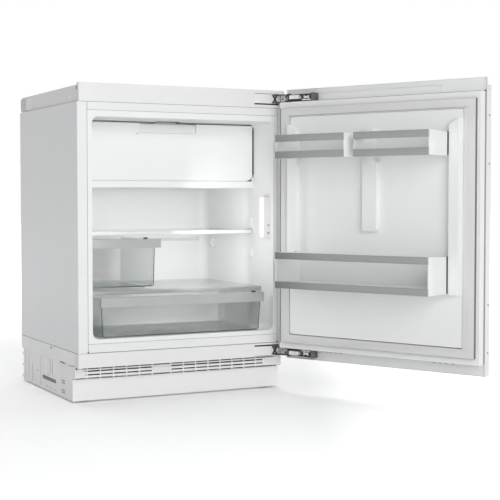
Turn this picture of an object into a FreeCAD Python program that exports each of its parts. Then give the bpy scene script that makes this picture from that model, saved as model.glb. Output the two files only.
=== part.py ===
import FreeCAD, Part

# Built-under refrigerator, 820 mm high, with a four-star compartment, modelled with its door open.
# X runs to the right, Y to the back and Z up. The origin is on the floor, under the middle of the
# cabinet's front plane. Every length is in millimetres.

import math
import os

from FreeCAD import Vector

# Shared clearances and tools
fit_gap = 0.3
skin_gap = 0.05
overrun = 2.0
touch = 0.01

# Cabinet
cabinet_w = 598.0
cabinet_h = 820.0
cabinet_d = 500.0
wall_space = 10.0
shell_d = cabinet_d - wall_space
sheet_t = 1.0
plastic_t = 2.5
base_h = 132.0
top_frame_h = 48.0
flange_return = 9.0
sheet_bend_r = 2.5
half_w = cabinet_w / 2
fascia_bottom = cabinet_h - top_frame_h

# Top frame and fascia
frame_inset = 4.5
fascia_d = 13.7
fascia_corner_r = 3.0
frame_rib_t = 2.0
frame_rib_h = 24.0
lid_drop = 6.0
lid_top = cabinet_h - lid_drop
lid_middle = (fascia_bottom + lid_top) / 2
lid_pad_in = 52.0
lid_pad_l = 42.0
lid_pad_t = 2.4
lid_pad_h = 32.0
lid_rib_in = 61.0
lid_rib_pitch = 14.0
lid_rib_w = 1.5
lid_rib_out = 1.0
lid_rib_h = 16.0
lid_notch_d = 6.5
lid_notch_w = 12.0
lid_notch_h = 13.0
wall_bracket_l = 50.0
wall_bracket_h = 34.0
wall_bracket_t = 2.0
wall_bracket_hole_r = 2.6
wall_bracket_hole_pitch = 31.0
spacer_w = 40.0
spacer_h = 30.0
spacer_x = 200.0

# Liner, with the wall thicknesses of the insulated cabinet
side_wall_t = 39.0
floor_wall_t = 35.0
roof_wall_t = 37.0
rear_wall_t = 53.0
cavity_w = cabinet_w - 2 * side_wall_t
cavity_floor = base_h + floor_wall_t
cavity_top = fascia_bottom - roof_wall_t
cavity_d = shell_d - rear_wall_t
half_cavity = cavity_w / 2
liner_t = 2.0
liner_front_r = 18.0
liner_back_r = 26.0
liner_flange_w = 12.0
liner_flange_drop = 11.7
liner_flange_rise = 16.0
liner_flange_bottom = cavity_floor - liner_flange_drop
liner_flange_top = cavity_top + liner_flange_rise
flange_joint = 1.0
flange_w = side_wall_t - liner_flange_w - flange_joint
step_d = 132.0
step_h = 105.0
step_y = cavity_d - step_d
step_z = cavity_floor + step_h
step_r = 14.0
pad_out = 5.0
pad_front = 127.0
pad_l = 54.0
pad_upper_up = 12.5
pad_upper_h = 34.0
pad_lower_down = 67.5
pad_lower_h = 25.0
rib_h = 5.0
rib_out = 8.0
gutter_h = 10.0
gutter_out = 12.0
lug_l = 30.0
lug_stem_l = 12.0
lug_drop = 22.5
lug_bar_h = 6.0
lug_stem_h = 12.0
lug_out = 6.0

# Front rails, the lower one tall enough for a hinge housing
rail_t = 1.5
rail_d = 11.7
housing_floor_in = 8.5
housing_roof_in = 9.5
housing_bottom = fascia_bottom + housing_floor_in
housing_h = top_frame_h - housing_floor_in - housing_roof_in
lower_housing_in = 1.7
lower_housing_over = 5.5
base_rail_d = 30.0
base_rail_bottom = base_h - housing_h - lower_housing_in - lower_housing_over
base_rail_t = 3.0
hinge_mirror_z = (base_rail_bottom + lower_housing_in + housing_bottom + housing_h) / 2

# Machine bay
bay_d = 150.0
bay_h = 108.0
bay_y = shell_d - bay_d
bay_z = base_h + bay_h

# Grille and plinth
grille_y = 27.0
grille_t = 4.0
grille_h = 28.5
grille_bottom = base_rail_bottom - grille_h
grille_low_bar = 5.6
grille_slot_h = 3.5
grille_mid_bar = 5.7
grille_high_bar = 3.5
grille_groove_d = 2.2
post_w = 2.8
post_pitch = 36.1
left_post_count = 6
right_post_count = 8
left_blind = 28.0
left_post_in = 33.0
right_blind = 56.5
right_post_in = 78.6
post_tooth = 3.5
plinth_y = 47.0
plinth_t = 3.0
plinth_bottom = 4.0
plinth_drop = 6.1
plinth_top = grille_bottom - plinth_drop
plinth_fold = 12.0
plinth_return_d = 18.0
plinth_return_h = 46.0
plinth_back = plinth_y + plinth_return_d

# Base
side_t = 3.0
side_relief = 1.2
band_in = 0.3
band_bottom = base_rail_bottom + band_in
side_rib_first = 174.0
side_rib_last = 307.0
side_rib_count = 6
side_rib_w = 9.0
side_rear_rib_in = 38.0
side_rear_rib_pitch = 25.0
side_line_w = 1.6
side_line_d = 1.0
side_line_first = 201.0
side_line_middle = 320.0
side_line_last = 414.0
side_line_h = 16.0
side_slot_mark_gap = 14.0
side_slot_mark_w = 3.0
side_dash_first = 24.0
side_dash_first_l = 36.0
side_dash_last = 99.0
side_dash_last_l = 53.0
side_dash_h = 2.2
side_pin_y = 435.0
side_pin_w = 4.0
side_pin_h = 8.0
side_mark_y = 219.0
side_mark_l = 16.0
side_mark_h = 5.0
side_mark_drop = 5.0
side_dot_r = 1.6
side_dot_y = 75.0
side_dot_high = 50.0
side_dot_low = 10.6
base_back_in = 15.0
base_back = cabinet_d - base_back_in
band_back_in = 1.0
side_slot_y = 188.0
side_slot_l = 120.0
side_slot_bottom = 31.0
side_slot_h = 10.5
arch_in = 123.0
arch_y = cabinet_d - arch_in
arch_r = 24.0
arch_top = 64.0
clip_slot_y = 112.0
clip_slot_l = 27.0
clip_slot_h = 2.2
clip_slot_pitch = 6.0
clip_slot_low = 15.5
clip_slot_high = 41.0
base_plate_z = 22.0
base_plate_front = 60.0
base_plate_lip = 16.0
base_side_gap = 1.0
rear_beam_h = 36.0
rear_beam_t = 2.0
rear_beam_d = 14.0

# Levelling feet
foot_pad_r = 18.0
foot_pad_h = 7.0
foot_neck_r = 9.0
foot_stud_r = 5.0
foot_stud_h = 60.0
foot_side_in = 37.0
foot_x = half_w - foot_side_in
foot_front_y = 78.0
foot_rear_in = 35.0
foot_rear_y = shell_d - foot_rear_in
foot_nut_r = 9.0
foot_nut_h = 8.0

# Cooling circuit
compressor_x = 110.0
compressor_in = 78.0
compressor_y = shell_d - compressor_in
compressor_r = 62.0
compressor_h = 140.0
compressor_crown_share = 0.6
compressor_seam_w = 5.0
compressor_seam_h = 6.0
compressor_seam_share = 0.45
compressor_foot_w = 170.0
compressor_foot_d = 92.0
compressor_foot_t = 3.0
compressor_foot_r = 12.0
mount_r = 9.0
mount_h = 14.0
mount_pitch_x = 140.0
mount_pitch_y = 66.0
tray_w = 150.0
tray_d = 104.0
tray_h = 26.0
tray_t = 2.0
condenser_tube_r = 3.0
condenser_runs = 6
condenser_w = 420.0
condenser_y = 82.0
condenser_back_gap = 53.0
condenser_back = compressor_y - compressor_r - compressor_seam_w - condenser_back_gap
condenser_pitch = (condenser_back - condenser_y) / (condenser_runs - 1)
condenser_z = 66.0
condenser_plate_t = 1.5
condenser_plate_h = 44.0
pipe_r = 3.2
pipe_bend_r = 14.0
suction_share = 0.7
discharge_share = 0.25
drier_r = 9.0
drier_l = 80.0
terminal_w = 42.0
terminal_d = 52.0
terminal_h = 60.0
gland_x = 205.0
gland_r = 8.0
gland_bore_r = 4.2
gland_flange_r = 13.0
gland_flange_t = 2.0
gland_l = 9.0

# Four-star compartment: its deck
deck_front = 118.0
deck_drop = 180.0
deck_h = 19.7
deck_bottom = cavity_top - deck_drop
deck_top = deck_bottom + deck_h
deck_t = 2.0
deck_back_gap = 7.0
deck_back = cavity_d - deck_back_gap
lug_d = 10.0
lug_h = 12.0

# Flap of the four-star compartment
flap_proud = 2.0
flap_side_gap = 5.0
flap_floor_gap = 1.8
flap_roof_gap = 5.5
flap_front = deck_front - flap_proud
flap_w = cavity_w - 2 * flap_side_gap
flap_bottom = deck_top + flap_floor_gap
flap_top = cavity_top - flap_roof_gap
flap_d = 24.0
flap_t = 2.5
flap_r = 15.0
flap_nose_r = 5.0
flap_pivot_in = 5.2
flap_pivot_up = 5.5
flap_pivot_y = flap_front + flap_pivot_in
flap_pivot_z = flap_bottom + flap_pivot_up
flap_pin_r = 2.0
grip_w = 165.0
grip_h = 27.0
grip_d = 15.0
flap_inner_inset = 5.0
flap_inner_d = 6.0
flap_seal_w = 9.0
flap_seal_t = 3.6
latch_w = 64.0
latch_h = 3.0
latch_d = 8.0

# Four-star compartment: its frame and food room
frame_y = flap_front + flap_d + flap_inner_d + flap_seal_t + 2 * skin_gap + fit_gap
frame_t = 6.0
ice_side_gap = 30.0
ice_floor_gap = 29.3
ice_roof_gap = 29.0
ice_back_gap = 19.0
ice_w = cavity_w - 2 * ice_side_gap
ice_bottom = deck_top + ice_floor_gap
ice_top = cavity_top - ice_roof_gap
ice_d = cavity_d - frame_y - ice_back_gap
ice_t = 1.6
ice_r = 10.0
evaporator_t = 1.5
channel_w = 12.0
channel_h = 3.0
channel_count = 4
box_rest_in = 50.0
box_rest_y = deck_back - box_rest_in
box_rest_w = 240.0
box_rest_t = 4.0

# Control housing
control_w = 20.0
control_front = 18.0
control_side_d = 23.0
control_d = 44.0
control_drop = 24.0
control_h = 112.0
control_bottom = deck_bottom - control_drop - control_h
lamp_t = 1.4
lamp_margin = 6.0
button_r = 3.0
button_proud = 1.2
button_l = 5.0
button_travel = 1.0
button_gap = 0.35
button_first_up = 13.0
button_first_z = control_bottom + button_first_up
button_pitch = 21.0
button_inset = 5.2

# Shelves
shelf_gap = 3.0
glass_t = 4.0
upper_shelf_front = 122.0
upper_shelf_share = 0.674
upper_shelf_bottom = cavity_floor + (deck_bottom - cavity_floor) * upper_shelf_share
upper_shelf_back_gap = 15.0
upper_shelf_d = cavity_d - upper_shelf_back_gap - upper_shelf_front
shelf_trim_h = 10.0
lower_shelf_front = 71.0
shelf_over_step = 1.5
lower_shelf_bottom = step_z + shelf_over_step
lower_shelf_back_gap = 10.0
lower_shelf_d = cavity_d - lower_shelf_back_gap - lower_shelf_front
trim_d = 10.0
trim_lip = 1.8
trim_bite = 5.0

# Grip trims of the drawer and the box
trim_wall = 2.0
trim_room = 11.0
tub_t = 2.5
tub_r = 14.0

# Drawer under the lower shelf
drawer_side_gap = 27.0
drawer_w = cavity_w - 2 * drawer_side_gap
trim_front = 5.0
drawer_front = trim_front + trim_room
drawer_back_gap = 9.0
drawer_d = step_y - drawer_back_gap - drawer_front
drawer_bottom = cavity_floor + fit_gap
drawer_taper = 5.0
drawer_trim_over = 2.0
drawer_trim_w = drawer_w + 2 * drawer_trim_over
drawer_trim_gap = 2.5
drawer_trim_h = 24.5
drawer_trim_top = lower_shelf_bottom - drawer_trim_gap
drawer_trim_bottom = drawer_trim_top - drawer_trim_h
drawer_top = drawer_trim_top - trim_wall - fit_gap

# Box above the lower shelf
box_side_gap = 6.0
box_w = 232.0
box_left = -half_cavity + box_side_gap
box_right = box_left + box_w
box_trim_front = 118.0
box_over_gap = 11.5
box_trim_h = 23.5
box_trim_top = upper_shelf_bottom - box_over_gap
box_trim_bottom = box_trim_top - box_trim_h
box_left_end = 4.0
box_right_end = 10.5
box_tub_left = box_left + box_left_end
box_tub_right = box_right - box_right_end
box_front = box_trim_front + trim_room
box_back_gap = 37.0
box_back = cavity_d - box_back_gap
runner_gap = 0.2
runner_h = 4.1
runner_inset = 24.0
runner_w = 4.0
runner_low = lower_shelf_bottom + shelf_trim_h + runner_gap
box_bottom = runner_low + runner_h
box_tub_top = box_trim_top - trim_wall - fit_gap
box_taper = 3.0

# Sliders on both trims
knob_w = 11.0
knob_d = 5.0
knob_h = 4.5
drawer_knob_in = 30.0
drawer_knob_x = drawer_trim_w / 2 - drawer_knob_in
box_knob_in = 43.0
box_knob_x = box_right - box_knob_in

# Door
door_t = 48.0
door_left = -half_w
door_right = half_w
door_under = 2.2
door_bottom = base_rail_bottom - door_under
door_top = cabinet_h
door_skin = 1.0
door_return = 5.0
door_liner_t = 1.6
door_open_deg = 115.0
pivot_in = 11.0
pivot_depth = 8.0
pivot_x = half_w - pivot_in
pivot_y = -door_t + pivot_depth
hinge_floor_in = 5.0
hinge_roof_in = 3.0
hinge_bottom = housing_bottom + hinge_floor_in
hinge_h = housing_h - hinge_floor_in - hinge_roof_in
core_inset = 8.0
core_hinge_gap = 1.5
core_w = cabinet_w - 2 * core_inset
core_half = core_w / 2
core_top = hinge_bottom - core_hinge_gap
core_bottom = 2 * hinge_mirror_z - core_top
liner_edge_in = 0.5
skirt_y = 34.5

# Door liner
seal_y = 12.0
plug_side_in = 2.0
plug_drop = 3.0
plug_rise = 8.0
plug_w = cavity_w - 2 * plug_side_in
plug_bottom = cavity_floor - plug_drop
plug_top = cavity_top + plug_rise
plug_face = 3.0
plug_r = 14.0
dyke_side_in = 3.0
dyke_w = 27.0
dyke_outer = plug_w / 2 - dyke_side_in
dyke_inner = dyke_outer - dyke_w
dyke_face = 15.0
dyke_top_in = 21.0
dyke_top = plug_top - dyke_top_in
dyke_slope = 18.0
centre_rib_w = 42.0
centre_rib_neck_w = 23.0

# Door gasket
seal_clear = 2.5
seal_side_w = 28.5
seal_end_clear = 1.8
seal_end_w = 22.7
seal_inner_w = cavity_w + 2 * seal_clear
seal_outer_w = seal_inner_w + 2 * seal_side_w
seal_inner_bottom = plug_bottom - seal_end_clear
seal_inner_top = plug_top + seal_end_clear
seal_outer_bottom = seal_inner_bottom - seal_end_w
seal_outer_top = seal_inner_top + seal_end_w
seal_base_t = 4.5
seal_bulb_inset = 3.0

# Door racks
rack_side_gap = 2.0
rack_rib_gap = 2.5
rack_half = dyke_inner - rack_side_gap
rack_middle = centre_rib_neck_w / 2 + rack_rib_gap
rack_front = 108.0
rack_t = 2.5
rack_floor_up = 12.0
rack_floor_t = 2.5
rack_back_h = 34.0
bar_t = 3.0
bar_h = 17.5
window_t = 1.6
upper_rack_drop = 113.0
upper_rack_h = 60.0
upper_rack_bottom = plug_top - upper_rack_drop
upper_rack_top = upper_rack_bottom + upper_rack_h
lower_rack_up = 131.0
lower_rack_h = 93.0
lower_rack_bottom = plug_bottom + lower_rack_up
lower_rack_top = lower_rack_bottom + lower_rack_h
peg_out = 7.0
peg_d = 9.0
peg_h = 5.5
peg_y = 4.0
notch_gap = 1.0
turn_gap = 0.35
dyke_under_rack = 2.0
dyke_bottom = lower_rack_bottom - dyke_under_rack
rib_over_rack = 56.0
shoulder_under_rack = 8.0
centre_rib_bottom = lower_rack_top + rib_over_rack
centre_rib_shoulder = upper_rack_bottom - shoulder_under_rack

# Fixings on the door for a furniture front
batten_left = -180.0
batten_bottom = hinge_bottom
batten_h = 22.5
batten_d = 8.0
batten_t = 1.6
side_rail_w = 14.0
side_rail_d = 18.0
side_rail_corner_r = 5.0
side_rail_low_in = 0.6
side_rail_top_in = 19.0
side_rail_bottom = door_bottom + side_rail_low_in
side_rail_top = door_top - side_rail_top_in
side_rail_t = 1.4
side_rail_hole_r = 2.2
side_rail_hole_low = 57.3
side_rail_hole_low_pitch = 117.7
side_rail_hole_high = 73.0
side_rail_hole_high_pitch = 116.8

# Hinges
leaf_t = 2.0
leaf_gap = 0.5
hinge_notch = 2.0
hinge_eye_r = 6.2
hinge_pin_r = 3.0
pin_head = 1.4
pin_head_r = 4.4
housing_reach = 85.0
housing_w = 74.0
housing_left = pivot_x - housing_reach
housing_right = housing_left + housing_w
housing_d = 42.0
housing_t = 1.5
bracket_reach = 48.0
bracket_w = 35.0
bracket_left = pivot_x - bracket_reach
bracket_right = bracket_left + bracket_w
bracket_web_t = 6.0
mouth_reach = 31.0
mouth_left = pivot_x - mouth_reach
cover_t = 2.0
arm_reach = 90.0
arm_left = pivot_x - arm_reach
arm_depth = 22.0
arm_wall_y = door_t - arm_depth
arm_t = 1.6
arm_flange_t = 2.0
cap_over = 1.0
cap_w = 24.0
cap_left = arm_left - cap_over
cap_right = cap_left + cap_w
damper_reach = 41.0
damper_w = 30.0
damper_left = pivot_x - damper_reach
damper_right = damper_left + damper_w
damper_depth = 24.5
damper_front = door_t - damper_depth
clip_reach = 63.0
clip_w = 18.0
clip_left = pivot_x - clip_reach
clip_right = clip_left + clip_w
clip_bar_w = 4.0


# Solids from outlines

def lift(axis, u, v, w):
    """The point at u, v on the plane across an axis at w."""
    return {"X": Vector(w, u, v), "Y": Vector(u, w, v), "Z": Vector(u, v, w)}[axis]


def outline(axis, corners, w):
    """A closed wire through corners (u, v) or (u, v, radius), its rounded corners as arcs."""
    edges = []
    ends = []
    for i, corner in enumerate(corners):
        u, v = corner[0], corner[1]
        radius = corner[2] if len(corner) == 3 else 0
        before, after = corners[i - 1], corners[(i + 1) % len(corners)]
        back = (before[0] - u, before[1] - v)
        on = (after[0] - u, after[1] - v)
        back_l, on_l = math.hypot(*back), math.hypot(*on)
        a = (back[0] / back_l, back[1] / back_l)
        b = (on[0] / on_l, on[1] / on_l)
        half = math.acos(max(-1, min(1, a[0] * b[0] + a[1] * b[1]))) / 2
        run = radius / math.tan(half)
        start = (u + a[0] * run, v + a[1] * run)
        end = (u + b[0] * run, v + b[1] * run)
        if radius:
            c = (a[0] + b[0], a[1] + b[1])
            c_l = math.hypot(*c)
            reach = radius / math.sin(half) - radius
            middle = (u + c[0] / c_l * reach, v + c[1] / c_l * reach)
            arc = Part.Arc(lift(axis, *start, w), lift(axis, *middle, w), lift(axis, *end, w))
            ends.append((start, end, arc.toShape()))
        else:
            ends.append((start, end, None))
    for i, (start, end, arc) in enumerate(ends):
        if arc:
            edges.append(arc)
        ahead = ends[(i + 1) % len(ends)][0]
        if math.hypot(ahead[0] - end[0], ahead[1] - end[1]) > touch:
            line = Part.LineSegment(lift(axis, *end, w), lift(axis, *ahead, w))
            edges.append(line.toShape())
    return Part.Wire(edges)


def prism(axis, corners, low, high):
    """A solid with the given outline between two places along an axis."""
    face = Part.Face(outline(axis, corners, low))
    return face.extrude(lift(axis, 0, 0, high - low))


def rounded(u0, v0, u1, v1, r=0, r_top=None):
    """The corners of a rectangle; r_top rounds the two upper ones, r the rest."""
    top = r if r_top is None else r_top
    return [(u0, v0, r), (u1, v0, r), (u1, v1, top), (u0, v1, top)]


def block(x0, y0, z0, x1, y1, z1):
    return Part.makeBox(x1 - x0, y1 - y0, z1 - z0, Vector(x0, y0, z0))


def rod(axis, u, v, low, high, r):
    """A round bar along an axis."""
    along = lift(axis, 0, 0, 1)
    return Part.makeCylinder(r, high - low, lift(axis, u, v, low), along)


def fuse(shapes):
    shapes = list(shapes)
    return shapes[0].multiFuse(shapes[1:]).removeSplitter()


def cut(shape, tools):
    for tool in tools:
        shape = shape.cut(tool)
    return shape


def mirror_x(shape):
    return shape.mirror(Vector(0, 0, 0), Vector(1, 0, 0))


def strip(points, t):
    """The outline of a sheet of thickness t folded along points, lying to the left of the path."""
    far = []
    for i, (u, v) in enumerate(points):
        normals = []
        for j in (i - 1, i):
            if 0 <= j < len(points) - 1:
                du, dv = points[j + 1][0] - points[j][0], points[j + 1][1] - points[j][1]
                length = math.hypot(du, dv)
                normals.append((-dv / length, du / length))
        n = (sum(a for a, b in normals), sum(b for a, b in normals))
        scale = t / (n[0] * normals[0][0] + n[1] * normals[0][1])
        far.append((u + n[0] * scale, v + n[1] * scale))
    return list(points) + far[::-1]


def ring(axis, outer, inner, low, high):
    """A frame between two outlines."""
    hole = prism(axis, inner, low - overrun, high + overrun)
    return prism(axis, outer, low, high).cut(hole)


def tub(left, right, front, back, bottom, top, wall, taper, r):
    """An open tub whose sides lean out by taper from its floor to its rim."""
    def loft(inset, z_low, z_high):
        low = rounded(left + taper + inset, front + taper + inset,
                      right - taper - inset, back - taper - inset, r - inset)
        high = rounded(left + inset, front + inset, right - inset, back - inset, r - inset)
        return Part.makeLoft([outline("Z", low, z_low), outline("Z", high, z_high)], True)
    return loft(0, bottom, top).cut(loft(wall, bottom + wall, top + touch))


def tube(points, r, bend):
    """A bent pipe through points, with an arc of radius bend at each inner one."""
    edges = []
    start = points[0]
    for i in range(1, len(points) - 1):
        p = points[i]
        a = (points[i - 1] - p).normalize()
        b = (points[i + 1] - p).normalize()
        half = a.getAngle(b) / 2
        run = bend / math.tan(half)
        tangent_in, tangent_out = p + a * run, p + b * run
        middle = p + (a + b).normalize() * (bend / math.sin(half) - bend)
        if start.distanceToPoint(tangent_in) > touch:
            edges.append(Part.LineSegment(start, tangent_in).toShape())
        edges.append(Part.Arc(tangent_in, middle, tangent_out).toShape())
        start = tangent_out
    edges.append(Part.LineSegment(start, points[-1]).toShape())
    path = Part.Wire(edges)
    section = Part.Wire(Part.makeCircle(r, points[0], points[1] - points[0]))
    return path.makePipeShell([section], True, False)


def hung(shape):
    """A piece of the closed door, turned about the hinge pins to where the open door has it."""
    turned = shape.copy()
    turned.rotate(Vector(pivot_x, pivot_y, 0), Vector(0, 0, 1), door_open_deg)
    return turned


def lower(shape):
    """The lower hinge's copy of an upper hinge piece, mirrored about the height midway between both."""
    return shape.mirror(Vector(0, 0, hinge_mirror_z), Vector(0, 0, 1))


def save(name, *solids):
    shape = solids[0] if len(solids) == 1 else Part.makeCompound(list(solids))
    shape.exportStep(f"parts/{name}.step")


# Cabinet shell

def side_panel():
    """The right steel side: one sheet with a front flange and an inward return."""
    skin = half_w - sheet_t
    outer = [(half_w - flange_w, 0), (half_w, 0, sheet_bend_r), (half_w, cabinet_d),
             (skin, cabinet_d), (skin, sheet_t, sheet_bend_r - sheet_t),
             (half_w - flange_w + sheet_t, sheet_t), (half_w - flange_w + sheet_t, flange_return),
             (half_w - flange_w, flange_return)]
    return prism("Z", outer, base_h, fascia_bottom - fit_gap)


def cavity(grow):
    """The refrigerated room, or the liner's outer form where it is grown by the liner's wall."""
    front = rounded(-half_cavity - grow, cavity_floor - grow, half_cavity + grow,
                    cavity_top + grow, liner_front_r + grow)
    back = cavity_d + grow
    r = liner_back_r + grow
    plan = [(-half_cavity - grow, -overrun), (half_cavity + grow, -overrun),
            (half_cavity + grow, back, r), (-half_cavity - grow, back, r)]
    room = prism("Y", front, -overrun, back).common(
        prism("Z", plan, cavity_floor - grow, cavity_top + grow))
    over = cabinet_d
    step = [(step_y + grow, 0), (over, 0), (over, step_z - grow), (step_y + grow, step_z - grow, step_r)]
    return room.cut(prism("X", step, -half_w, half_w))


def inner_liner():
    """The thermoformed liner: a tub with a front flange, shelf pads, shelf ribs and a drain gutter."""
    flange_half = half_cavity + liner_flange_w
    tub_wall = cavity(liner_t).common(block(-half_w, 0, 0, half_w, cabinet_d, cabinet_h))
    flange = prism("Y", rounded(-flange_half, liner_flange_bottom, flange_half, liner_flange_top),
                   0, liner_t)
    shell = fuse([tub_wall, flange]).cut(cavity(0))
    wall = half_cavity + liner_t / 2
    extras = []
    for bottom, height in ((upper_shelf_bottom + pad_upper_up, pad_upper_h),
                           (upper_shelf_bottom - pad_lower_down, pad_lower_h)):
        pad = prism("X", rounded(pad_front, bottom, pad_front + pad_l, bottom + height, pad_out),
                    half_cavity - pad_out, wall)
        extras += [pad, mirror_x(pad)]
    rib_back = cavity_d - liner_back_r
    for shelf_bottom, front in ((upper_shelf_bottom, upper_shelf_front + trim_d),
                                (lower_shelf_bottom, lower_shelf_front + trim_d)):
        top = shelf_bottom + shelf_trim_h - glass_t - fit_gap
        front += fit_gap
        rib = prism("X", [(front, top), (rib_back, top), (rib_back, top - rib_h),
                          (front + rib_h, top - rib_h)], half_cavity - rib_out, wall)
        extras += [rib, mirror_x(rib)]
    gutter_z = upper_shelf_bottom - gutter_h * 3
    gutter = prism("X", [(cavity_d + liner_t / 2, gutter_z), (cavity_d - gutter_out, gutter_z + gutter_h),
                         (cavity_d - gutter_out, gutter_z + gutter_h * 2),
                         (cavity_d - gutter_out + liner_t, gutter_z + gutter_h * 2),
                         (cavity_d - gutter_out + liner_t, gutter_z + gutter_h),
                         (cavity_d + liner_t / 2, gutter_z + gutter_h)],
                   -half_cavity + liner_back_r, half_cavity - liner_back_r)
    lug_top = upper_shelf_bottom - lug_drop
    lug_y = rib_back - lug_l
    for length, top, height in ((lug_l, lug_top, lug_bar_h), (lug_stem_l, lug_top - lug_bar_h, lug_stem_h),
                                (lug_l, lug_top - lug_bar_h - lug_stem_h, lug_bar_h)):
        front = lug_y + (lug_l - length) / 2
        extras.append(block(half_cavity - lug_out, front, top - height - touch, wall, front + length, top))
    return fuse([shell, gutter] + extras)


def insulation_foam():
    """The foam between the steel shell, the liner and the machine bay."""
    inner_half = half_w - sheet_t
    body = block(-inner_half, rail_d, base_h + sheet_t, inner_half, shell_d - sheet_t, fascia_bottom)
    bay = prism("X", [(bay_y, 0), (cabinet_d, 0), (cabinet_d, bay_z), (bay_y, bay_z)], -half_w, half_w)
    return cut(body, [cavity(liner_t), bay])


def bay_cover():
    """The galvanised underside of the foam, folded up over the machine bay."""
    wall = bay_y + sheet_t
    path = [(rail_d, base_h), (wall, base_h), (wall, bay_z - sheet_t), (shell_d, bay_z - sheet_t)]
    return prism("X", strip(path, sheet_t), -half_w + sheet_t, half_w - sheet_t)


def back_panel():
    """The steel rear wall above the machine bay, with two beads that each end in a wall spacer."""
    half = half_w - sheet_t
    pieces = [block(-half, shell_d - sheet_t, bay_z, half, shell_d, fascia_bottom)]
    for x in (-spacer_x, spacer_x):
        low, high = bay_z + spacer_w, fascia_bottom - spacer_h * 2
        pieces.append(prism("Z", [(x - spacer_w / 2, shell_d - touch),
                                  (x + spacer_w / 2, shell_d - touch),
                                  (x + spacer_w / 4, shell_d + plastic_t),
                                  (x - spacer_w / 4, shell_d + plastic_t)], low, high))
        top = fascia_bottom - spacer_h / 2
        side = [(shell_d - touch, top - spacer_h), (cabinet_d, top - spacer_h * 3 / 4),
                (cabinet_d, top - spacer_h / 4), (shell_d - touch, top)]
        pieces.append(prism("X", side, x - spacer_w / 2, x + spacer_w / 2))
    return fuse(pieces)


def hinge_pocket(gap):
    """The room that the upper hinge housing takes, with a gap round it."""
    return block(housing_left - gap, -overrun, housing_bottom - gap,
                 housing_right + gap, housing_d + gap, housing_bottom + housing_h + gap)


def top_frame():
    """The moulded lid: a shell open below, with ribs, a pocket for the hinge and clip details at its sides."""
    half = half_w - frame_inset
    front = fascia_d + fit_gap
    outer = prism("Z", rounded(-half, front, half, cabinet_d, 0, plastic_t * 2), fascia_bottom, lid_top)
    inner = block(-half + plastic_t, front + plastic_t, fascia_bottom - overrun,
                  half - plastic_t, cabinet_d - plastic_t, lid_top - plastic_t)
    ribs = []
    for i in range(1, 4):
        y = front + (cabinet_d - front) * i / 4
        ribs.append(block(-half + plastic_t, y, lid_top - frame_rib_h, half - plastic_t, y + frame_rib_t,
                          lid_top - plastic_t))
    pad_back = cabinet_d - lid_pad_in
    pad = prism("Z", [(half - touch, pad_back - lid_pad_l), (half + lid_pad_t, pad_back), (half - touch, pad_back)],
                lid_middle - lid_pad_h / 2, lid_middle + lid_pad_h / 2)
    details = [pad, mirror_x(pad)]
    for i in range(2):
        y = lid_rib_in + lid_rib_pitch * i
        rib = block(half - touch, y, fascia_bottom + plastic_t, half + lid_rib_out, y + lid_rib_w,
                    fascia_bottom + plastic_t + lid_rib_h)
        details += [rib, mirror_x(rib)]
    notch = block(half - lid_notch_w, front - overrun, lid_top - lid_notch_h, half + overrun,
                  front + lid_notch_d, lid_top + overrun)
    holes = wall_bracket_holes(wall_bracket_hole_r + overrun)
    return cut(fuse([outer.cut(inner)] + ribs + details), [hinge_pocket(fit_gap), notch, mirror_x(notch)] + holes)


def top_fascia():
    """The front cover of the lid, with the window that the upper hinge works in."""
    half = half_w - frame_inset + fit_gap
    outer = prism("Z", [(-half, 0, fascia_corner_r), (half, 0, fascia_corner_r), (half, fascia_d),
                        (-half, fascia_d)], fascia_bottom, cabinet_h)
    room = block(-half + plastic_t, plastic_t, fascia_bottom + plastic_t, half - plastic_t,
                 fascia_d + overrun, cabinet_h - plastic_t)
    return cut(outer, [room, hinge_pocket(fit_gap)])


def wall_bracket_holes(r):
    """Cutters for the wall bracket's two screws, through the bracket and the lid's wall behind it."""
    inner = -half_w + frame_inset + plastic_t
    middle = cabinet_d - wall_bracket_l / 2
    return [rod("X", middle + side * wall_bracket_hole_pitch / 2, lid_middle,
                -half_w, inner + overrun, r) for side in (-1, 1)]


def wall_bracket():
    """The plate at the rear left of the lid, with two holes for the screws into the next cabinet."""
    half = half_w - frame_inset
    low = lid_middle - wall_bracket_h / 2
    plate = rounded(cabinet_d - wall_bracket_l, low, cabinet_d, low + wall_bracket_h, wall_bracket_t)
    return cut(prism("X", plate, -half - wall_bracket_t, -half), wall_bracket_holes(wall_bracket_hole_r))


def front_rail(bottom, top):
    """A folded crossbar of the cabinet front."""
    half = half_cavity + liner_flange_w
    path = [(rail_d, bottom), (0, bottom), (0, top), (rail_d, top)]
    return prism("X", strip(path, -rail_t), -half + fit_gap, half - fit_gap)


# Base

def base_front_rail():
    """The moulded crossbar under the cabinet, with the window for the lower hinge."""
    top = base_h - fit_gap
    outer = prism("Z", [(-half_w, 0, fascia_corner_r), (half_w, 0, fascia_corner_r), (half_w, base_rail_d),
                        (-half_w, base_rail_d)], base_rail_bottom, top)
    room = block(-half_w + base_rail_t, base_rail_t, base_rail_bottom + base_rail_t,
                 half_w - base_rail_t, base_rail_d + overrun, top - base_rail_t)
    return cut(outer, [room, lower(hinge_pocket(fit_gap))])


def grille_posts():
    """The middles of the grille's posts: one group at the left and one at the right of a blind part."""
    left = [-half_w + left_post_in + post_pitch * i for i in range(left_post_count)]
    right = [half_w - right_post_in - post_pitch * i for i in range(right_post_count)]
    return left, right[::-1]


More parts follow.
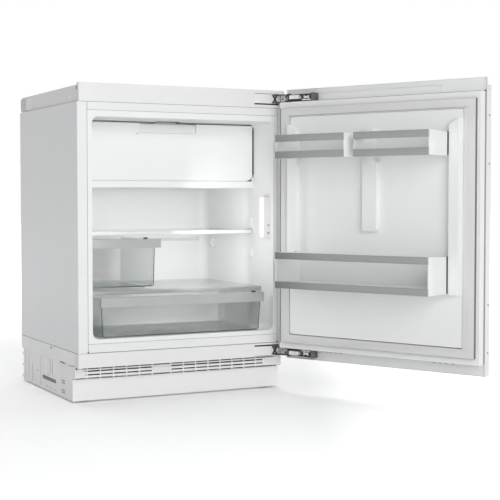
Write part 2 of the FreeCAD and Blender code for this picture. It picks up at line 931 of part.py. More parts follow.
def vent_grille():
    """The air grille: two rows of slots between narrow posts, as blind grooves where no air passes."""
    back = grille_y + grille_t
    bars_top = grille_bottom + grille_low_bar + 2 * grille_slot_h + grille_mid_bar + grille_high_bar
    left, right = grille_posts()
    plate = block(-half_w, grille_y, grille_bottom, half_w, back, bars_top)
    cells = []
    for edges in ([-half_w + left_blind] + left, right + [half_w - right_blind]):
        for a, b in zip(edges, edges[1:]):
            start = a if a == -half_w + left_blind else a + post_w / 2
            end = b if b == half_w - right_blind else b - post_w / 2
            cells.append((start, end))
    blinds = [(-half_w - overrun, -half_w + left_blind), (left[-1] + post_w / 2, right[0] - post_w / 2),
              (half_w - right_blind, half_w + overrun)]
    cutters = []
    for low in (grille_bottom + grille_low_bar, grille_bottom + grille_low_bar + grille_slot_h + grille_mid_bar):
        for start, end in cells:
            cutters.append(block(start, grille_y - overrun, low, end, back + overrun, low + grille_slot_h))
        for start, end in blinds:
            cutters.append(block(start, grille_y - overrun, low, end, grille_y + grille_groove_d,
                                 low + grille_slot_h))
    posts = [block(x - post_w / 2, grille_y + touch, grille_bottom - post_tooth, x + post_w / 2, back,
                   base_rail_bottom - fit_gap) for x in left + right]
    for x in (-half_w + left_blind / 2, half_w - left_blind / 2):
        posts.append(block(x - left_blind / 4, grille_y + grille_groove_d, bars_top - touch, x + left_blind / 4,
                           back, base_rail_bottom - fit_gap))
    return fuse([cut(plate, cutters)] + posts)


def plinth_panel():
    """The toe panel under the grille, folded back along its top and at both ends."""
    front, half = plinth_y + plinth_t, half_w - side_t - fit_gap
    face = block(-half_w, plinth_y, plinth_bottom, half_w, front, plinth_top)
    fold = block(-half, plinth_y + touch, plinth_top - plinth_t, half, plinth_y + plinth_fold, plinth_top)
    end = block(half_w - plinth_t, plinth_y + touch, plinth_bottom, half_w, plinth_back,
                plinth_bottom + plinth_return_h)
    return fuse([face, fold, end, mirror_x(end)])


def base_side():
    """The right base moulding: a ribbed wall with a slot, clip holes, marks and an arch at the rear."""
    inner = half_w - side_t
    outer = half_w + overrun
    top = base_h - fit_gap
    front_high, front_mid = base_rail_d + fit_gap, plinth_y + plinth_t + fit_gap
    front_top, front_low = grille_y + grille_t + fit_gap, plinth_back + fit_gap
    step = plinth_bottom + plinth_return_h + fit_gap
    arch_cut = [(arch_y - arch_r, 0), (arch_y + arch_r, 0), (arch_y + arch_r, arch_top, arch_r - touch),
                (arch_y - arch_r, arch_top, arch_r - touch)]
    wall = prism("X", [(front_low, foot_pad_h / 2), (base_back, foot_pad_h / 2), (base_back, top),
                       (front_high, top), (front_high, base_rail_bottom), (front_top, base_rail_bottom),
                       (front_top, grille_bottom - post_tooth), (front_mid, grille_bottom - post_tooth),
                       (front_mid, step), (front_low, step)], inner, half_w - side_relief)
    band = prism("X", rounded(front_high, band_bottom, cabinet_d - band_back_in, top), inner, half_w)
    ribs = []
    for i in range(side_rib_count):
        y = side_rib_first + (side_rib_last - side_rib_first) * i / (side_rib_count - 1)
        bottom = side_slot_bottom + side_slot_h * 2
        ribs.append(block(inner, y - side_rib_w / 2, bottom, half_w, y + side_rib_w / 2, band_bottom + touch))
    for i in range(2):
        y = base_back - side_rear_rib_in - side_rear_rib_pitch * i
        ribs.append(block(inner, y - side_rib_w / 2, foot_pad_h, half_w, y + side_rib_w / 2,
                          band_bottom + touch))
    skin = half_w - side_line_d
    low_skin = skin - side_relief
    holes = [prism("X", arch_cut, half_w - side_t / 2, outer),
             prism("X", rounded(side_slot_y, side_slot_bottom, side_slot_y + side_slot_l,
                                side_slot_bottom + side_slot_h, side_t), inner - overrun, outer),
             block(low_skin, side_slot_y - side_slot_mark_gap, side_slot_bottom - side_slot_mark_w, outer,
                   side_slot_y - side_slot_mark_gap + side_slot_mark_w, side_slot_bottom + side_slot_h),
             block(inner - overrun, side_dash_first, band_bottom + fit_gap, outer,
                   side_dash_first + side_dash_first_l, band_bottom + fit_gap + side_dash_h),
             block(inner - overrun, side_dash_last, band_bottom + fit_gap, outer,
                   side_dash_last + side_dash_last_l, band_bottom + fit_gap + side_dash_h),
             block(inner - overrun, side_pin_y, top - side_mark_drop - side_pin_h, outer,
                   side_pin_y + side_pin_w, top - side_mark_drop),
             block(inner - overrun, side_mark_y, top - side_mark_drop - side_mark_h, outer,
                   side_mark_y + side_mark_l, top - side_mark_drop),
             rod("X", side_dot_y, side_dot_high, inner - overrun, outer, side_dot_r),
             rod("X", side_dot_y, side_dot_low, inner - overrun, outer, side_dot_r),
             block(low_skin, side_line_middle, side_dot_high, outer, side_line_middle + side_line_w,
                   side_dot_high + side_line_h)]
    for y in (side_line_first, side_line_middle, side_line_last):
        holes.append(block(skin, y, top - side_line_h, outer, y + side_line_w, top + overrun))
    for z in (clip_slot_low, clip_slot_low + clip_slot_pitch, clip_slot_high, clip_slot_high + clip_slot_pitch):
        holes.append(block(inner - overrun, clip_slot_y, z, outer, clip_slot_y + clip_slot_l, z + clip_slot_h))
    return cut(fuse([wall, band] + ribs), holes)


def base_plate():
    """The steel floor of the base, with its sides folded up, which carries the compressor."""
    half = half_w - side_t - base_side_gap
    path = [(-half, base_plate_z + base_plate_lip), (-half, base_plate_z), (half, base_plate_z),
            (half, base_plate_z + base_plate_lip)]
    plate = prism("Y", strip(path, sheet_t), base_plate_front, base_back - rear_beam_d)
    holes = [rod("Z", x, y, 0, base_h, foot_stud_r + fit_gap) for x in (-foot_x, foot_x)
             for y in (foot_front_y, foot_rear_y)]
    return cut(plate, holes)


def base_rear_beam():
    """The moulded channel that ties the base sides together, with the collar for the mains lead."""
    back = base_back
    low = base_plate_z - sheet_t
    front = back - rear_beam_d + fit_gap
    path = [(front, low), (back, low), (back, low + rear_beam_h), (front, low + rear_beam_h)]
    half = half_w - side_t - fit_gap
    beam = prism("X", strip(path, rear_beam_t), -half, half)
    z = low + rear_beam_h / 2
    collar = fuse([rod("Y", gland_x, z, back - gland_l, back + touch, gland_r),
                   rod("Y", gland_x, z, back - touch, back + gland_flange_t, gland_flange_r)])
    return fuse([beam, collar]).cut(rod("Y", gland_x, z, back - gland_l - overrun, back + gland_l,
                                        gland_bore_r))


def foot_nuts():
    """Hexagon nuts welded on the base plate, one over each foot."""
    nuts = []
    for x in (-foot_x, foot_x):
        for y in (foot_front_y, foot_rear_y):
            hexagon = [(x + foot_nut_r * math.cos(math.radians(60 * i)),
                        y + foot_nut_r * math.sin(math.radians(60 * i))) for i in range(6)]
            low = base_plate_z + sheet_t
            nuts.append(prism("Z", hexagon, low, low + foot_nut_h).cut(
                rod("Z", x, y, low - overrun, low + foot_nut_h + overrun, foot_stud_r + fit_gap)))
    return nuts


def foot(x, y):
    """One levelling foot: a pad, a neck under the base plate and a stud."""
    neck_top = base_plate_z - fit_gap
    section = [(0, 0), (foot_pad_r, 0), (foot_pad_r, foot_pad_h / 2), (foot_neck_r, foot_pad_h),
               (foot_neck_r, neck_top), (foot_stud_r, neck_top), (foot_stud_r, foot_stud_h),
               (0, foot_stud_h)]
    face = Part.Face(outline("Y", section, 0))
    spun = face.revolve(Vector(0, 0, 0), Vector(0, 0, 1), 360)
    spun.translate(Vector(x, y, 0))
    return spun


# Cooling circuit

def compressor():
    """A hermetic compressor: two drawn half shells on a foot plate, joined at a welded seam."""
    low = base_plate_z + sheet_t + mount_h
    shell_low = low + compressor_foot_t
    top = shell_low + compressor_h
    seam = shell_low + compressor_h * compressor_seam_share
    r = compressor_r
    section = [(0, shell_low), (r, shell_low, r / 2), (r, seam), (r + compressor_seam_w, seam),
               (r + compressor_seam_w, seam + compressor_seam_h), (r, seam + compressor_seam_h),
               (r, top, r * compressor_crown_share), (0, top)]
    shell = Part.Face(outline("Y", section, 0)).revolve(Vector(0, 0, 0), Vector(0, 0, 1), 360)
    plate = prism("Z", rounded(-compressor_foot_w / 2, -compressor_foot_d / 2, compressor_foot_w / 2,
                               compressor_foot_d / 2, compressor_foot_r), low, shell_low + touch)
    holes = [rod("Z", sx * mount_pitch_x / 2, sy * mount_pitch_y / 2, low - overrun, shell_low + overrun,
                 mount_r / 2 + skin_gap) for sx in (-1, 1) for sy in (-1, 1)]
    whole = cut(fuse([shell, plate]), holes)
    whole.translate(Vector(compressor_x, compressor_y, 0))
    return whole


def compressor_mounts():
    """Four rubber grommets, each waisted to hold the foot plate."""
    grommets = []
    low = base_plate_z + sheet_t
    for sx in (-1, 1):
        for sy in (-1, 1):
            section = [(0, low), (mount_r, low), (mount_r, low + mount_h), (mount_r / 2, low + mount_h),
                       (mount_r / 2, low + mount_h + 2 * compressor_foot_t),
                       (0, low + mount_h + 2 * compressor_foot_t)]
            spun = Part.Face(outline("Y", section, 0)).revolve(Vector(0, 0, 0), Vector(0, 0, 1), 360)
            spun.translate(Vector(compressor_x + sx * mount_pitch_x / 2,
                                  compressor_y + sy * mount_pitch_y / 2, 0))
            grommets.append(spun)
    return grommets


def compressor_top():
    return base_plate_z + sheet_t + mount_h + compressor_foot_t + compressor_h


def evaporation_tray():
    """The tray on the compressor in which the defrost water dries up."""
    low = compressor_top() + fit_gap
    return tub(compressor_x - tray_w / 2, compressor_x + tray_w / 2, compressor_y - tray_d / 2,
               compressor_y + tray_d / 2, low, low + tray_h, tray_t, tray_t, tray_d / 8)


def condenser():
    """A serpentine tube across the base, held by two upright plates that stand on the base plate."""
    points = []
    half = condenser_w / 2
    for i in range(condenser_runs):
        y = condenser_y + condenser_pitch * i
        side = 1 if i % 2 else -1
        ends = (side * half, -side * half)
        points += [Vector(ends[0], y, condenser_z), Vector(ends[1], y, condenser_z)]
    coil = tube(points, condenser_tube_r, condenser_pitch / 2 - touch)
    low = base_plate_z + sheet_t
    plates = []
    for side in (-1, 1):
        x = side * (half - condenser_pitch)
        y_low, y_high = condenser_y - condenser_pitch / 3, points[-1].y + condenser_pitch / 3
        plate = block(x, y_low, low, x + condenser_plate_t, y_high, low + condenser_plate_h + base_plate_lip)
        plates.append(cut(plate, [rod("X", condenser_y + condenser_pitch * i, condenser_z, -half, half,
                                      condenser_tube_r + skin_gap) for i in range(condenser_runs)]))
    return [coil] + plates


def refrigerant_pipes():
    """The discharge and suction pipes and the drier, from the compressor's shell."""
    low = base_plate_z + sheet_t + mount_h + compressor_foot_t
    left = compressor_x - compressor_r - compressor_seam_w
    high = low + compressor_h * suction_share
    mid = low + compressor_h * discharge_share
    y = compressor_y
    last_y = condenser_y + condenser_pitch * (condenser_runs - 1)
    suction = tube([Vector(compressor_x - compressor_r - fit_gap, y, high),
                    Vector(left - pipe_bend_r * 3, y, high),
                    Vector(left - pipe_bend_r * 3, y, bay_z - sheet_t - fit_gap)], pipe_r, pipe_bend_r)
    discharge = tube([Vector(compressor_x - compressor_r - fit_gap, y, mid),
                      Vector(left - pipe_bend_r * 3, y, mid),
                      Vector(left - pipe_bend_r * 3, y, condenser_z + pipe_bend_r * 3),
                      Vector(left - pipe_bend_r * 3, last_y, condenser_z + pipe_bend_r * 3),
                      Vector(left - pipe_bend_r * 3, last_y, condenser_z + condenser_tube_r + fit_gap)],
                     pipe_r, pipe_bend_r)
    drier_x = -spacer_x
    low_z = base_plate_z + sheet_t
    section = [(0, low_z), (pipe_r, low_z), (pipe_r, low_z + drier_r), (drier_r, low_z + drier_r * 2),
               (drier_r, low_z + drier_r * 2 + drier_l), (pipe_r, low_z + drier_r * 3 + drier_l),
               (pipe_r, bay_z - sheet_t - fit_gap), (0, bay_z - sheet_t - fit_gap)]
    drier = Part.Face(outline("Y", section, 0)).revolve(Vector(0, 0, 0), Vector(0, 0, 1), 360)
    drier.translate(Vector(drier_x, y, 0))
    return [suction, discharge, drier]


def terminal_box():
    """The cover over the compressor's terminals and start relay."""
    x = compressor_x + compressor_r + fit_gap
    low = base_plate_z + sheet_t + mount_h + compressor_foot_t + terminal_h / 3
    body = prism("Z", [(x, compressor_y - terminal_d / 2), (x + terminal_w, compressor_y - terminal_d / 2, plastic_t * 2),
                       (x + terminal_w, compressor_y + terminal_d / 2, plastic_t * 2),
                       (x, compressor_y + terminal_d / 2)], low, low + terminal_h)
    shell = rod("Z", compressor_x, compressor_y, 0, cabinet_h,
                compressor_r + compressor_seam_w + fit_gap)
    return body.cut(shell)


# Four-star compartment

def box_rest(half_l):
    """The upright rib of the deck that the food room lies on."""
    top = ice_bottom - ice_t - evaporator_t - 2 * skin_gap
    return block(-half_l, box_rest_y, deck_bottom + touch, half_l, box_rest_y + box_rest_t, top)


def freezer_deck():
    """The tray across the liner that carries the compartment, with an eye for each flap pin."""
    half = half_cavity - fit_gap
    outer = prism("X", [(deck_front, deck_bottom, deck_t * 2), (deck_back, deck_bottom), (deck_back, deck_top),
                        (deck_front, deck_top, deck_t)], -half, half).common(cavity(-fit_gap))
    room = block(-half + deck_t, frame_y + frame_t, deck_bottom + deck_t, half - deck_t, deck_back - deck_t,
                 deck_top + overrun).common(cavity(-fit_gap - deck_t))
    pieces = [outer.cut(room), box_rest(box_rest_w / 2)]
    for side in (-1, 1):
        inner = flap_w / 2 + fit_gap * 2
        ends = sorted((side * inner, side * half))
        pieces.append(prism("X", [(deck_front, deck_top - touch), (deck_front + lug_d, deck_top - touch),
                                  (deck_front + lug_d, deck_top + lug_h, flap_pin_r),
                                  (deck_front, deck_top + lug_h, flap_pin_r)], *ends))
    bore = rod("X", flap_pivot_y, flap_pivot_z, -half_cavity, half_cavity, flap_pin_r + turn_gap)
    return cut(fuse(pieces), [bore])


def freezer_deck_foam():
    """The insulation block inside the deck."""
    grow = -fit_gap - deck_t - skin_gap
    half = half_cavity + grow
    slab = block(-half, frame_y + frame_t + skin_gap, deck_bottom + deck_t + skin_gap, half,
                 deck_back - deck_t - skin_gap, deck_top).common(cavity(grow))
    return slab.cut(box_rest(box_rest_w / 2 + skin_gap))


def freezer_frame():
    """The frame that the flap closes on."""
    half = half_cavity - fit_gap
    outer = [(-half, deck_top), (half, deck_top), (half, cavity_top - fit_gap, liner_front_r),
             (-half, cavity_top - fit_gap, liner_front_r)]
    grow = ice_t + skin_gap
    hole = rounded(-ice_w / 2 - grow, ice_bottom - grow, ice_w / 2 + grow, ice_top + grow, ice_r + grow)
    return ring("Y", outer, hole, frame_y, frame_y + frame_t)


def freezer_box():
    """The food room of the compartment: a tub on its side with a rim over the frame's edge."""
    half = ice_w / 2
    back = frame_y + ice_d
    outer = prism("Y", rounded(-half - ice_t, ice_bottom - ice_t, half + ice_t, ice_top + ice_t, ice_r + ice_t),
                  frame_y + touch, back)
    room = prism("Y", rounded(-half, ice_bottom, half, ice_top, ice_r), frame_y - overrun, back - ice_t)
    return outer.cut(room)


def evaporator():
    """The roll-bonded sheet wrapped round the food room, with its raised refrigerant channels."""
    inner = ice_t + skin_gap
    outer = inner + evaporator_t
    half = ice_w / 2
    back = frame_y + ice_d - ice_r
    sheet = ring("Y", rounded(-half - outer, ice_bottom - outer, half + outer, ice_top + outer, ice_r + outer),
                 rounded(-half - inner, ice_bottom - inner, half + inner, ice_top + inner, ice_r + inner),
                 frame_y + frame_t + fit_gap, back)
    channels = []
    for i in range(channel_count):
        y = frame_y + frame_t + (back - frame_y) * (i + 0.5) / channel_count
        channels.append(prism("X", [(y - channel_w / 2, ice_top + outer - touch),
                                    (y + channel_w / 2, ice_top + outer - touch),
                                    (y + channel_w / 4, ice_top + outer + channel_h),
                                    (y - channel_w / 4, ice_top + outer + channel_h)],
                              -half + ice_r, half - ice_r))
    return fuse([sheet] + channels)


def flap_block(front, back):
    """The flap's whole form, with its lower front edge rounded about the pivot."""
    half = flap_w / 2
    plate = prism("Y", rounded(-half, flap_bottom, half, flap_top, flap_r, flap_t), front, back)
    nose = prism("X", [(front, flap_bottom, flap_nose_r), (back, flap_bottom), (back, flap_top),
                       (front, flap_top, flap_t)], -half, half)
    return plate.common(nose)


def flap_shell():
    """The outer moulding of the flap, with the finger pocket at its upper edge and its two pins."""
    half = flap_w / 2
    back = flap_front + flap_d
    room = prism("Y", rounded(-half + flap_t, flap_bottom + flap_t, half - flap_t, flap_top - flap_t,
                              flap_r - flap_t, flap_t), flap_front + flap_t, back + overrun)
    grip = grip_w / 2
    grip_low = flap_top - grip_h
    pocket_wall = prism("Y", rounded(-grip - flap_t, grip_low - flap_t, grip + flap_t, flap_top - flap_t / 2,
                                     flap_t * 2, 0), flap_front + flap_t / 2, flap_front + grip_d + flap_t)
    pocket = prism("Y", rounded(-grip, grip_low, grip, flap_top + overrun, flap_t, 0),
                   flap_front - overrun, flap_front + grip_d)
    whole = flap_block(flap_front, back)
    beam = block(-half, flap_front, flap_bottom, half, flap_pivot_y + 2 * flap_pin_r,
                 flap_pivot_z + 2 * flap_pin_r).common(whole)
    pins = rod("X", flap_pivot_y, flap_pivot_z, -half_cavity + fit_gap * 2, half_cavity - fit_gap * 2,
               flap_pin_r)
    return fuse([fuse([whole.cut(room), pocket_wall]).cut(pocket), beam, pins])


def flap_inner():
    """The inner panel of the flap, with the snap tongue that reaches over the shell's upper edge."""
    half = flap_w / 2 - flap_inner_inset
    low, high = flap_bottom + flap_inner_inset * 2, flap_top - flap_inner_inset
    front = flap_front + flap_d + skin_gap
    panel = prism("Y", rounded(-half, low, half, high, flap_inner_inset), front, front + flap_inner_d)
    tongue_low = flap_top + skin_gap
    inset = flap_inner_d / 3
    tongue = prism("X", [(front, high - flap_inner_inset), (front + inset, high - flap_inner_inset),
                         (front + inset, tongue_low + latch_h), (front - latch_d, tongue_low + latch_h),
                         (front - latch_d, tongue_low), (front, tongue_low)], -latch_w / 2, latch_w / 2)
    edge = flap_seal_w * 3
    dish = prism("Y", rounded(-half + edge, low + edge, half - edge, high - edge, flap_seal_w),
                 front + flap_inner_d / 2, front + flap_inner_d + overrun)
    return fuse([panel.cut(dish), tongue])


def flap_gasket():
    """The flap's lip seal."""
    inset = flap_inner_inset * 2
    half = flap_w / 2 - inset
    low, high = flap_bottom + inset + flap_inner_inset, flap_top - inset
    w = flap_seal_w
    front = flap_front + flap_d + skin_gap + flap_inner_d + skin_gap
    return ring("Y", rounded(-half, low, half, high, flap_inner_inset),
                rounded(-half + w, low + w, half - w, high - w, flap_inner_inset / 2),
                front, frame_y - fit_gap)


# Control housing

def control_housing():
    """The slim housing on the right wall that holds the controls and the lamp."""
    outer = half_cavity - fit_gap
    inner = outer - control_w
    plan = [(inner, control_front, plastic_t), (outer, control_front), (outer, control_front + control_d),
            (inner, control_front + control_side_d, plastic_t)]
    body = prism("Z", plan, control_bottom, control_bottom + control_h)
    lamp_room = block(inner - overrun, control_front + lamp_margin, control_bottom + lamp_margin,
                      inner + lamp_t, control_front + control_side_d - lamp_margin / 2,
                      control_bottom + control_h - lamp_margin)
    x = outer - button_inset
    bores = [rod("Y", x, button_first_z + button_pitch * i, control_front - overrun,
                 control_front + button_l + button_travel, button_r + button_gap) for i in range(2)]
    return cut(body, [lamp_room] + bores)


def lamp_cover():
    """The light cover on the housing's inner side."""
    inner = half_cavity - fit_gap - control_w
    return block(inner - fit_gap, control_front + lamp_margin + skin_gap,
                 control_bottom + lamp_margin + skin_gap, inner + lamp_t - skin_gap,
                 control_front + control_side_d - lamp_margin / 2 - skin_gap,
                 control_bottom + control_h - lamp_margin - skin_gap)


def button(i):
    """One press button of the control housing."""
    x = half_cavity - fit_gap - button_inset
    front = control_front - button_proud
    return rod("Y", x, button_first_z + button_pitch * i, front, front + button_l, button_r)


# Shelves

def shelf_glass(front, bottom, depth):
    """The pane of a shelf, its upper face level with the trim's."""
    half = half_cavity - shelf_gap - trim_lip
    top = bottom + shelf_trim_h
    plan = [(-half, front + trim_d - trim_bite), (half, front + trim_d - trim_bite),
            (half, front + depth, liner_back_r), (-half, front + depth, liner_back_r)]
    return prism("Z", plan, top - glass_t, top)


def shelf_trim(front, bottom):
    """The moulded nose along a pane's front edge, with the ledge that the pane is glued on."""
    half = half_cavity - shelf_gap
    top = bottom + shelf_trim_h
    seat = top - glass_t - skin_gap
    step = front + trim_d - trim_bite - skin_gap
    return prism("X", [(front, bottom, trim_lip), (front + trim_d, bottom), (front + trim_d, seat),
                       (step, seat), (step, top), (front, top, trim_lip)], -half, half)


# Drawer and box

def drawer_tub():
    return tub(-drawer_w / 2, drawer_w / 2, drawer_front, drawer_front + drawer_d, drawer_bottom, drawer_top,
               tub_t, drawer_taper, tub_r)


def box_tub():
    """The clear box, on two runners that slide over the lower shelf."""
    body = tub(box_tub_left, box_tub_right, box_front, box_back, box_bottom, box_tub_top, tub_t,
               box_taper, tub_r)
    low = runner_low
    runners = []
    for x in (box_tub_left + runner_inset, box_tub_right - runner_inset):
        side = [(box_front + runner_inset, low), (box_back - runner_inset, low),
                (box_back - runner_inset, box_bottom + touch), (box_front + runner_inset, box_bottom + touch)]
        runners.append(prism("X", side, x - runner_w / 2, x + runner_w / 2))
    return fuse([body] + runners)


def grip_trim(left, right, front, back, bottom, top):
    """A grip rail: a front wall folded back below and over the tub's rim, with a plate at each end."""
    path = [(back, bottom), (front, bottom), (front, top), (back + tub_t + trim_wall, top)]
    rail = prism("X", strip(path, -trim_wall), left, right)
    ends = [block(left, front + touch, bottom + touch, left + trim_wall, back, top - touch),
            block(right - trim_wall, front + touch, bottom + touch, right, back, top - touch)]
    return fuse([rail] + ends)


def drawer_trim():
    return grip_trim(-drawer_trim_w / 2, drawer_trim_w / 2, trim_front, drawer_front - fit_gap,
                     drawer_trim_bottom, drawer_trim_top)


def box_trim():
    return grip_trim(box_left, box_right, box_trim_front, box_front - fit_gap, box_trim_bottom, box_trim_top)


def slider(x, front, top):
    """The humidity slider on a trim's upper face."""
    y = front + knob_d
    low = top + skin_gap
    return prism("X", [(y - knob_d / 2, low), (y + knob_d / 2, low), (y + knob_d / 4, low + knob_h),
                       (y - knob_d / 4, low + knob_h)], x - knob_w / 2, x + knob_w / 2)


# Door, drawn closed and then turned open

def door_outer_panel():
    """The steel outer sheet of the door, folded back along all four edges."""
    face = -door_t
    pan = block(door_left, face, door_bottom, door_right, face + door_return, door_top)
    room = block(door_left + door_skin, face + door_skin, door_bottom + door_skin, door_right - door_skin,
                 face + door_return + overrun, door_top - door_skin)
    notch = block(pivot_x - hinge_notch, face - overrun, hinge_bottom - hinge_notch, door_right + overrun,
                  face + door_return + overrun, hinge_bottom + hinge_h + hinge_notch)
    return cut(pan, [room, notch, lower(notch)])


def door_form(inset):
    """What the door liner stands proud of its flange by: plug, side dykes and centre rib."""
    def flat(left, bottom, right, top, face, r=0):
        return prism("Y", rounded(left + inset, bottom + inset, right - inset, top - inset,
                                  max(r - inset, 0)), -seal_y - overrun, face - inset)
    plug = flat(-plug_w / 2, plug_bottom, plug_w / 2, plug_top, -plug_face, plug_r)
    parts = [plug]
    for side in (-1, 1):
        u_in, u_out = side * (dyke_inner + inset), side * (dyke_outer - inset)
        dyke = [(u_in, dyke_bottom + inset, plug_r / 2), (u_out, dyke_bottom + inset),
                (u_out, dyke_top - inset), (u_in, dyke_top - dyke_slope - inset)]
        parts.append(prism("Y", dyke, -seal_y - overrun, dyke_face - inset))
    parts.append(flat(-centre_rib_w / 2, centre_rib_bottom, centre_rib_w / 2, centre_rib_shoulder,
                      dyke_face - plug_face, plug_r / 2))
    neck = prism("Y", rounded(-centre_rib_neck_w / 2 + inset, centre_rib_shoulder - plug_r,
                              centre_rib_neck_w / 2 - inset, dyke_top - dyke_slope - inset),
                 -seal_y - overrun, dyke_face - inset)
    return fuse(parts + [neck])


def peg(x, side, rack_bottom):
    """A support peg that stands out of a dyke at x towards the given side."""
    low = rack_bottom + rack_floor_up - peg_h - fit_gap
    ends = sorted((x - side * door_liner_t / 2, x + side * peg_out))
    return prism("X", rounded(peg_y, low - peg_h, peg_y + peg_d, low + peg_h, peg_d / 4), *ends)


def door_body(inset, back):
    """The door's body in front of its sheet, with a groove round its sides, made smaller by inset."""
    low, high = core_bottom + inset, core_top - inset
    edge = half_w - liner_edge_in - inset
    face = -seal_y - inset
    wide = block(-edge, -skirt_y + inset, low, edge, face, high)
    narrow = block(-core_half + inset, back, low, core_half - inset, face, high)
    return fuse([wide, narrow])


def door_liner():
    """The thermoformed door liner, folded back along its edges, with dykes, centre rib and rack pegs."""
    back = -door_t + door_skin + skin_gap
    outer = fuse([door_body(0, back), door_form(0)])
    inner = fuse([door_body(door_liner_t, back - overrun), door_form(door_liner_t)])
    pegs = [peg(dyke_inner, -1, lower_rack_bottom), peg(-dyke_inner, 1, lower_rack_bottom),
            peg(dyke_inner, -1, upper_rack_bottom), peg(-dyke_inner, 1, upper_rack_bottom),
            peg(centre_rib_neck_w / 2, 1, upper_rack_bottom), peg(-centre_rib_neck_w / 2, -1, upper_rack_bottom)]
    return fuse([outer.cut(inner)] + pegs)


def door_foam():
    """The door's foam core, between the steel sheet and the liner, up into the dykes and the rib."""
    return fuse([door_body(door_liner_t, -door_t + door_skin), door_form(door_liner_t)])


def door_gasket():
    """The magnetic door seal: a foot strip on the liner and a narrower bulb."""
    half_out, half_in = seal_outer_w / 2, seal_inner_w / 2
    outer = rounded(-half_out, seal_outer_bottom, half_out, seal_outer_top)
    foot_ring = ring("Y", outer, rounded(-half_in, seal_inner_bottom, half_in, seal_inner_top),
                     -seal_y, -seal_y + seal_base_t)
    i = seal_bulb_inset
    bulb = ring("Y", outer, rounded(-half_in - i, seal_inner_bottom, half_in + i, seal_inner_top),
                -seal_y + seal_base_t - touch, -fit_gap)
    return fuse([foot_ring, bulb])


def door_batten():
    """The folded rail along the door's top that a furniture front hangs on."""
    face = -door_t + door_skin
    path = [(face + batten_d, batten_bottom), (face, batten_bottom), (face, batten_bottom + batten_h),
            (face + batten_d, batten_bottom + batten_h)]
    return prism("X", strip(path, -batten_t), batten_left, cap_left - arm_t - fit_gap * 3)


def door_side_rail():
    """The angle on the sheet's free edge; its leg stands forward and has four holes for a furniture front."""
    x, y = door_left, -door_t
    leg = prism("X", [(y - side_rail_d, side_rail_bottom), (y, side_rail_bottom), (y, side_rail_top),
                      (y - side_rail_d, side_rail_top, side_rail_corner_r)], x, x + side_rail_t)
    foot_strip = block(x, y - side_rail_t, side_rail_bottom, x + side_rail_w, y, side_rail_top)
    first, last = side_rail_bottom + side_rail_hole_low, side_rail_top - side_rail_hole_high
    heights = (first, first + side_rail_hole_low_pitch, last - side_rail_hole_high_pitch, last)
    holes = [rod("X", y - side_rail_d / 2, z, x - overrun, x + side_rail_t + overrun, side_rail_hole_r)
             for z in heights]
    return cut(fuse([leg, foot_strip]), holes)


# Hinges, drawn for the upper one

def hinge_bracket():
    """The cabinet's half of a hinge: two leaves on a block inside the housing, bored for the pin."""
    top = hinge_bottom + hinge_h
    back = housing_d - housing_t - fit_gap
    eye = hinge_eye_r
    plan = [(bracket_right, back), (bracket_left, back), (bracket_left, bracket_web_t),
            (mouth_left + fit_gap, bracket_web_t), (mouth_left + fit_gap, -fit_gap),
            (pivot_x - eye, pivot_y - eye, eye - touch), (pivot_x + eye, pivot_y - eye, eye - touch),
            (pivot_x + eye, pivot_y + eye), (bracket_right, -fit_gap)]
    leaves = [prism("Z", plan, hinge_bottom, hinge_bottom + leaf_t),
              prism("Z", plan, top - leaf_t, top)]
    web = block(bracket_left, bracket_web_t, hinge_bottom, bracket_right, back, top)
    bore = rod("Z", pivot_x, pivot_y, hinge_bottom - overrun, top + overrun, hinge_pin_r + skin_gap)
    return cut(fuse(leaves + [web]), [bore])


def hinge_housing():
    """The drawn steel box behind the fascia that a hinge bracket is screwed into."""
    top = housing_bottom + housing_h
    box = block(housing_left, cover_t + fit_gap, housing_bottom, housing_right, housing_d, top)
    room = block(housing_left + housing_t, -overrun, housing_bottom + housing_t, housing_right - housing_t,
                 housing_d - housing_t, top - housing_t)
    return box.cut(room)


def hinge_cover():
    """The white plate that closes the window beside the bracket."""
    top = housing_bottom + housing_h
    plate = block(housing_left, 0, housing_bottom, mouth_left - fit_gap, cover_t, top)
    rim = block(housing_left + housing_t * 3, cover_t - touch, housing_bottom + housing_t * 3,
                mouth_left - housing_t * 3, cover_t + housing_t, top - housing_t * 3)
    return fuse([plate, rim])


def hinge_pin():
    """The headed pin through bracket and arm."""
    top = hinge_bottom + hinge_h
    return fuse([rod("Z", pivot_x, pivot_y, hinge_bottom - pin_head / 2, top + skin_gap, hinge_pin_r),
                 rod("Z", pivot_x, pivot_y, top + skin_gap, top + pin_head, pin_head_r)])


def hinge_arm():
    """The door's half: a channel on the steel sheet whose flanges run out to the pin."""
    low = hinge_bottom + leaf_t + leaf_gap
    high = hinge_bottom + hinge_h - leaf_t - leaf_gap
    face = -door_t + door_skin
    eye = hinge_eye_r
    plan = [(arm_left, face), (pivot_x + eye, face), (pivot_x + eye, pivot_y + eye, eye - touch),
            (pivot_x - eye, pivot_y + eye), (damper_left, -arm_wall_y), (arm_left, -arm_wall_y)]
    flanges = [prism("Z", plan, low, low + arm_flange_t), prism("Z", plan, high - arm_flange_t, high)]
    web = block(arm_left, face, low, pivot_x + eye, face + arm_t, high)
    sleeve = rod("Z", pivot_x, pivot_y, low, high, hinge_eye_r - arm_t)
    bore = rod("Z", pivot_x, pivot_y, low - overrun, high + overrun, hinge_pin_r + turn_gap)
    return cut(fuse(flanges + [web, sleeve]), [bore])


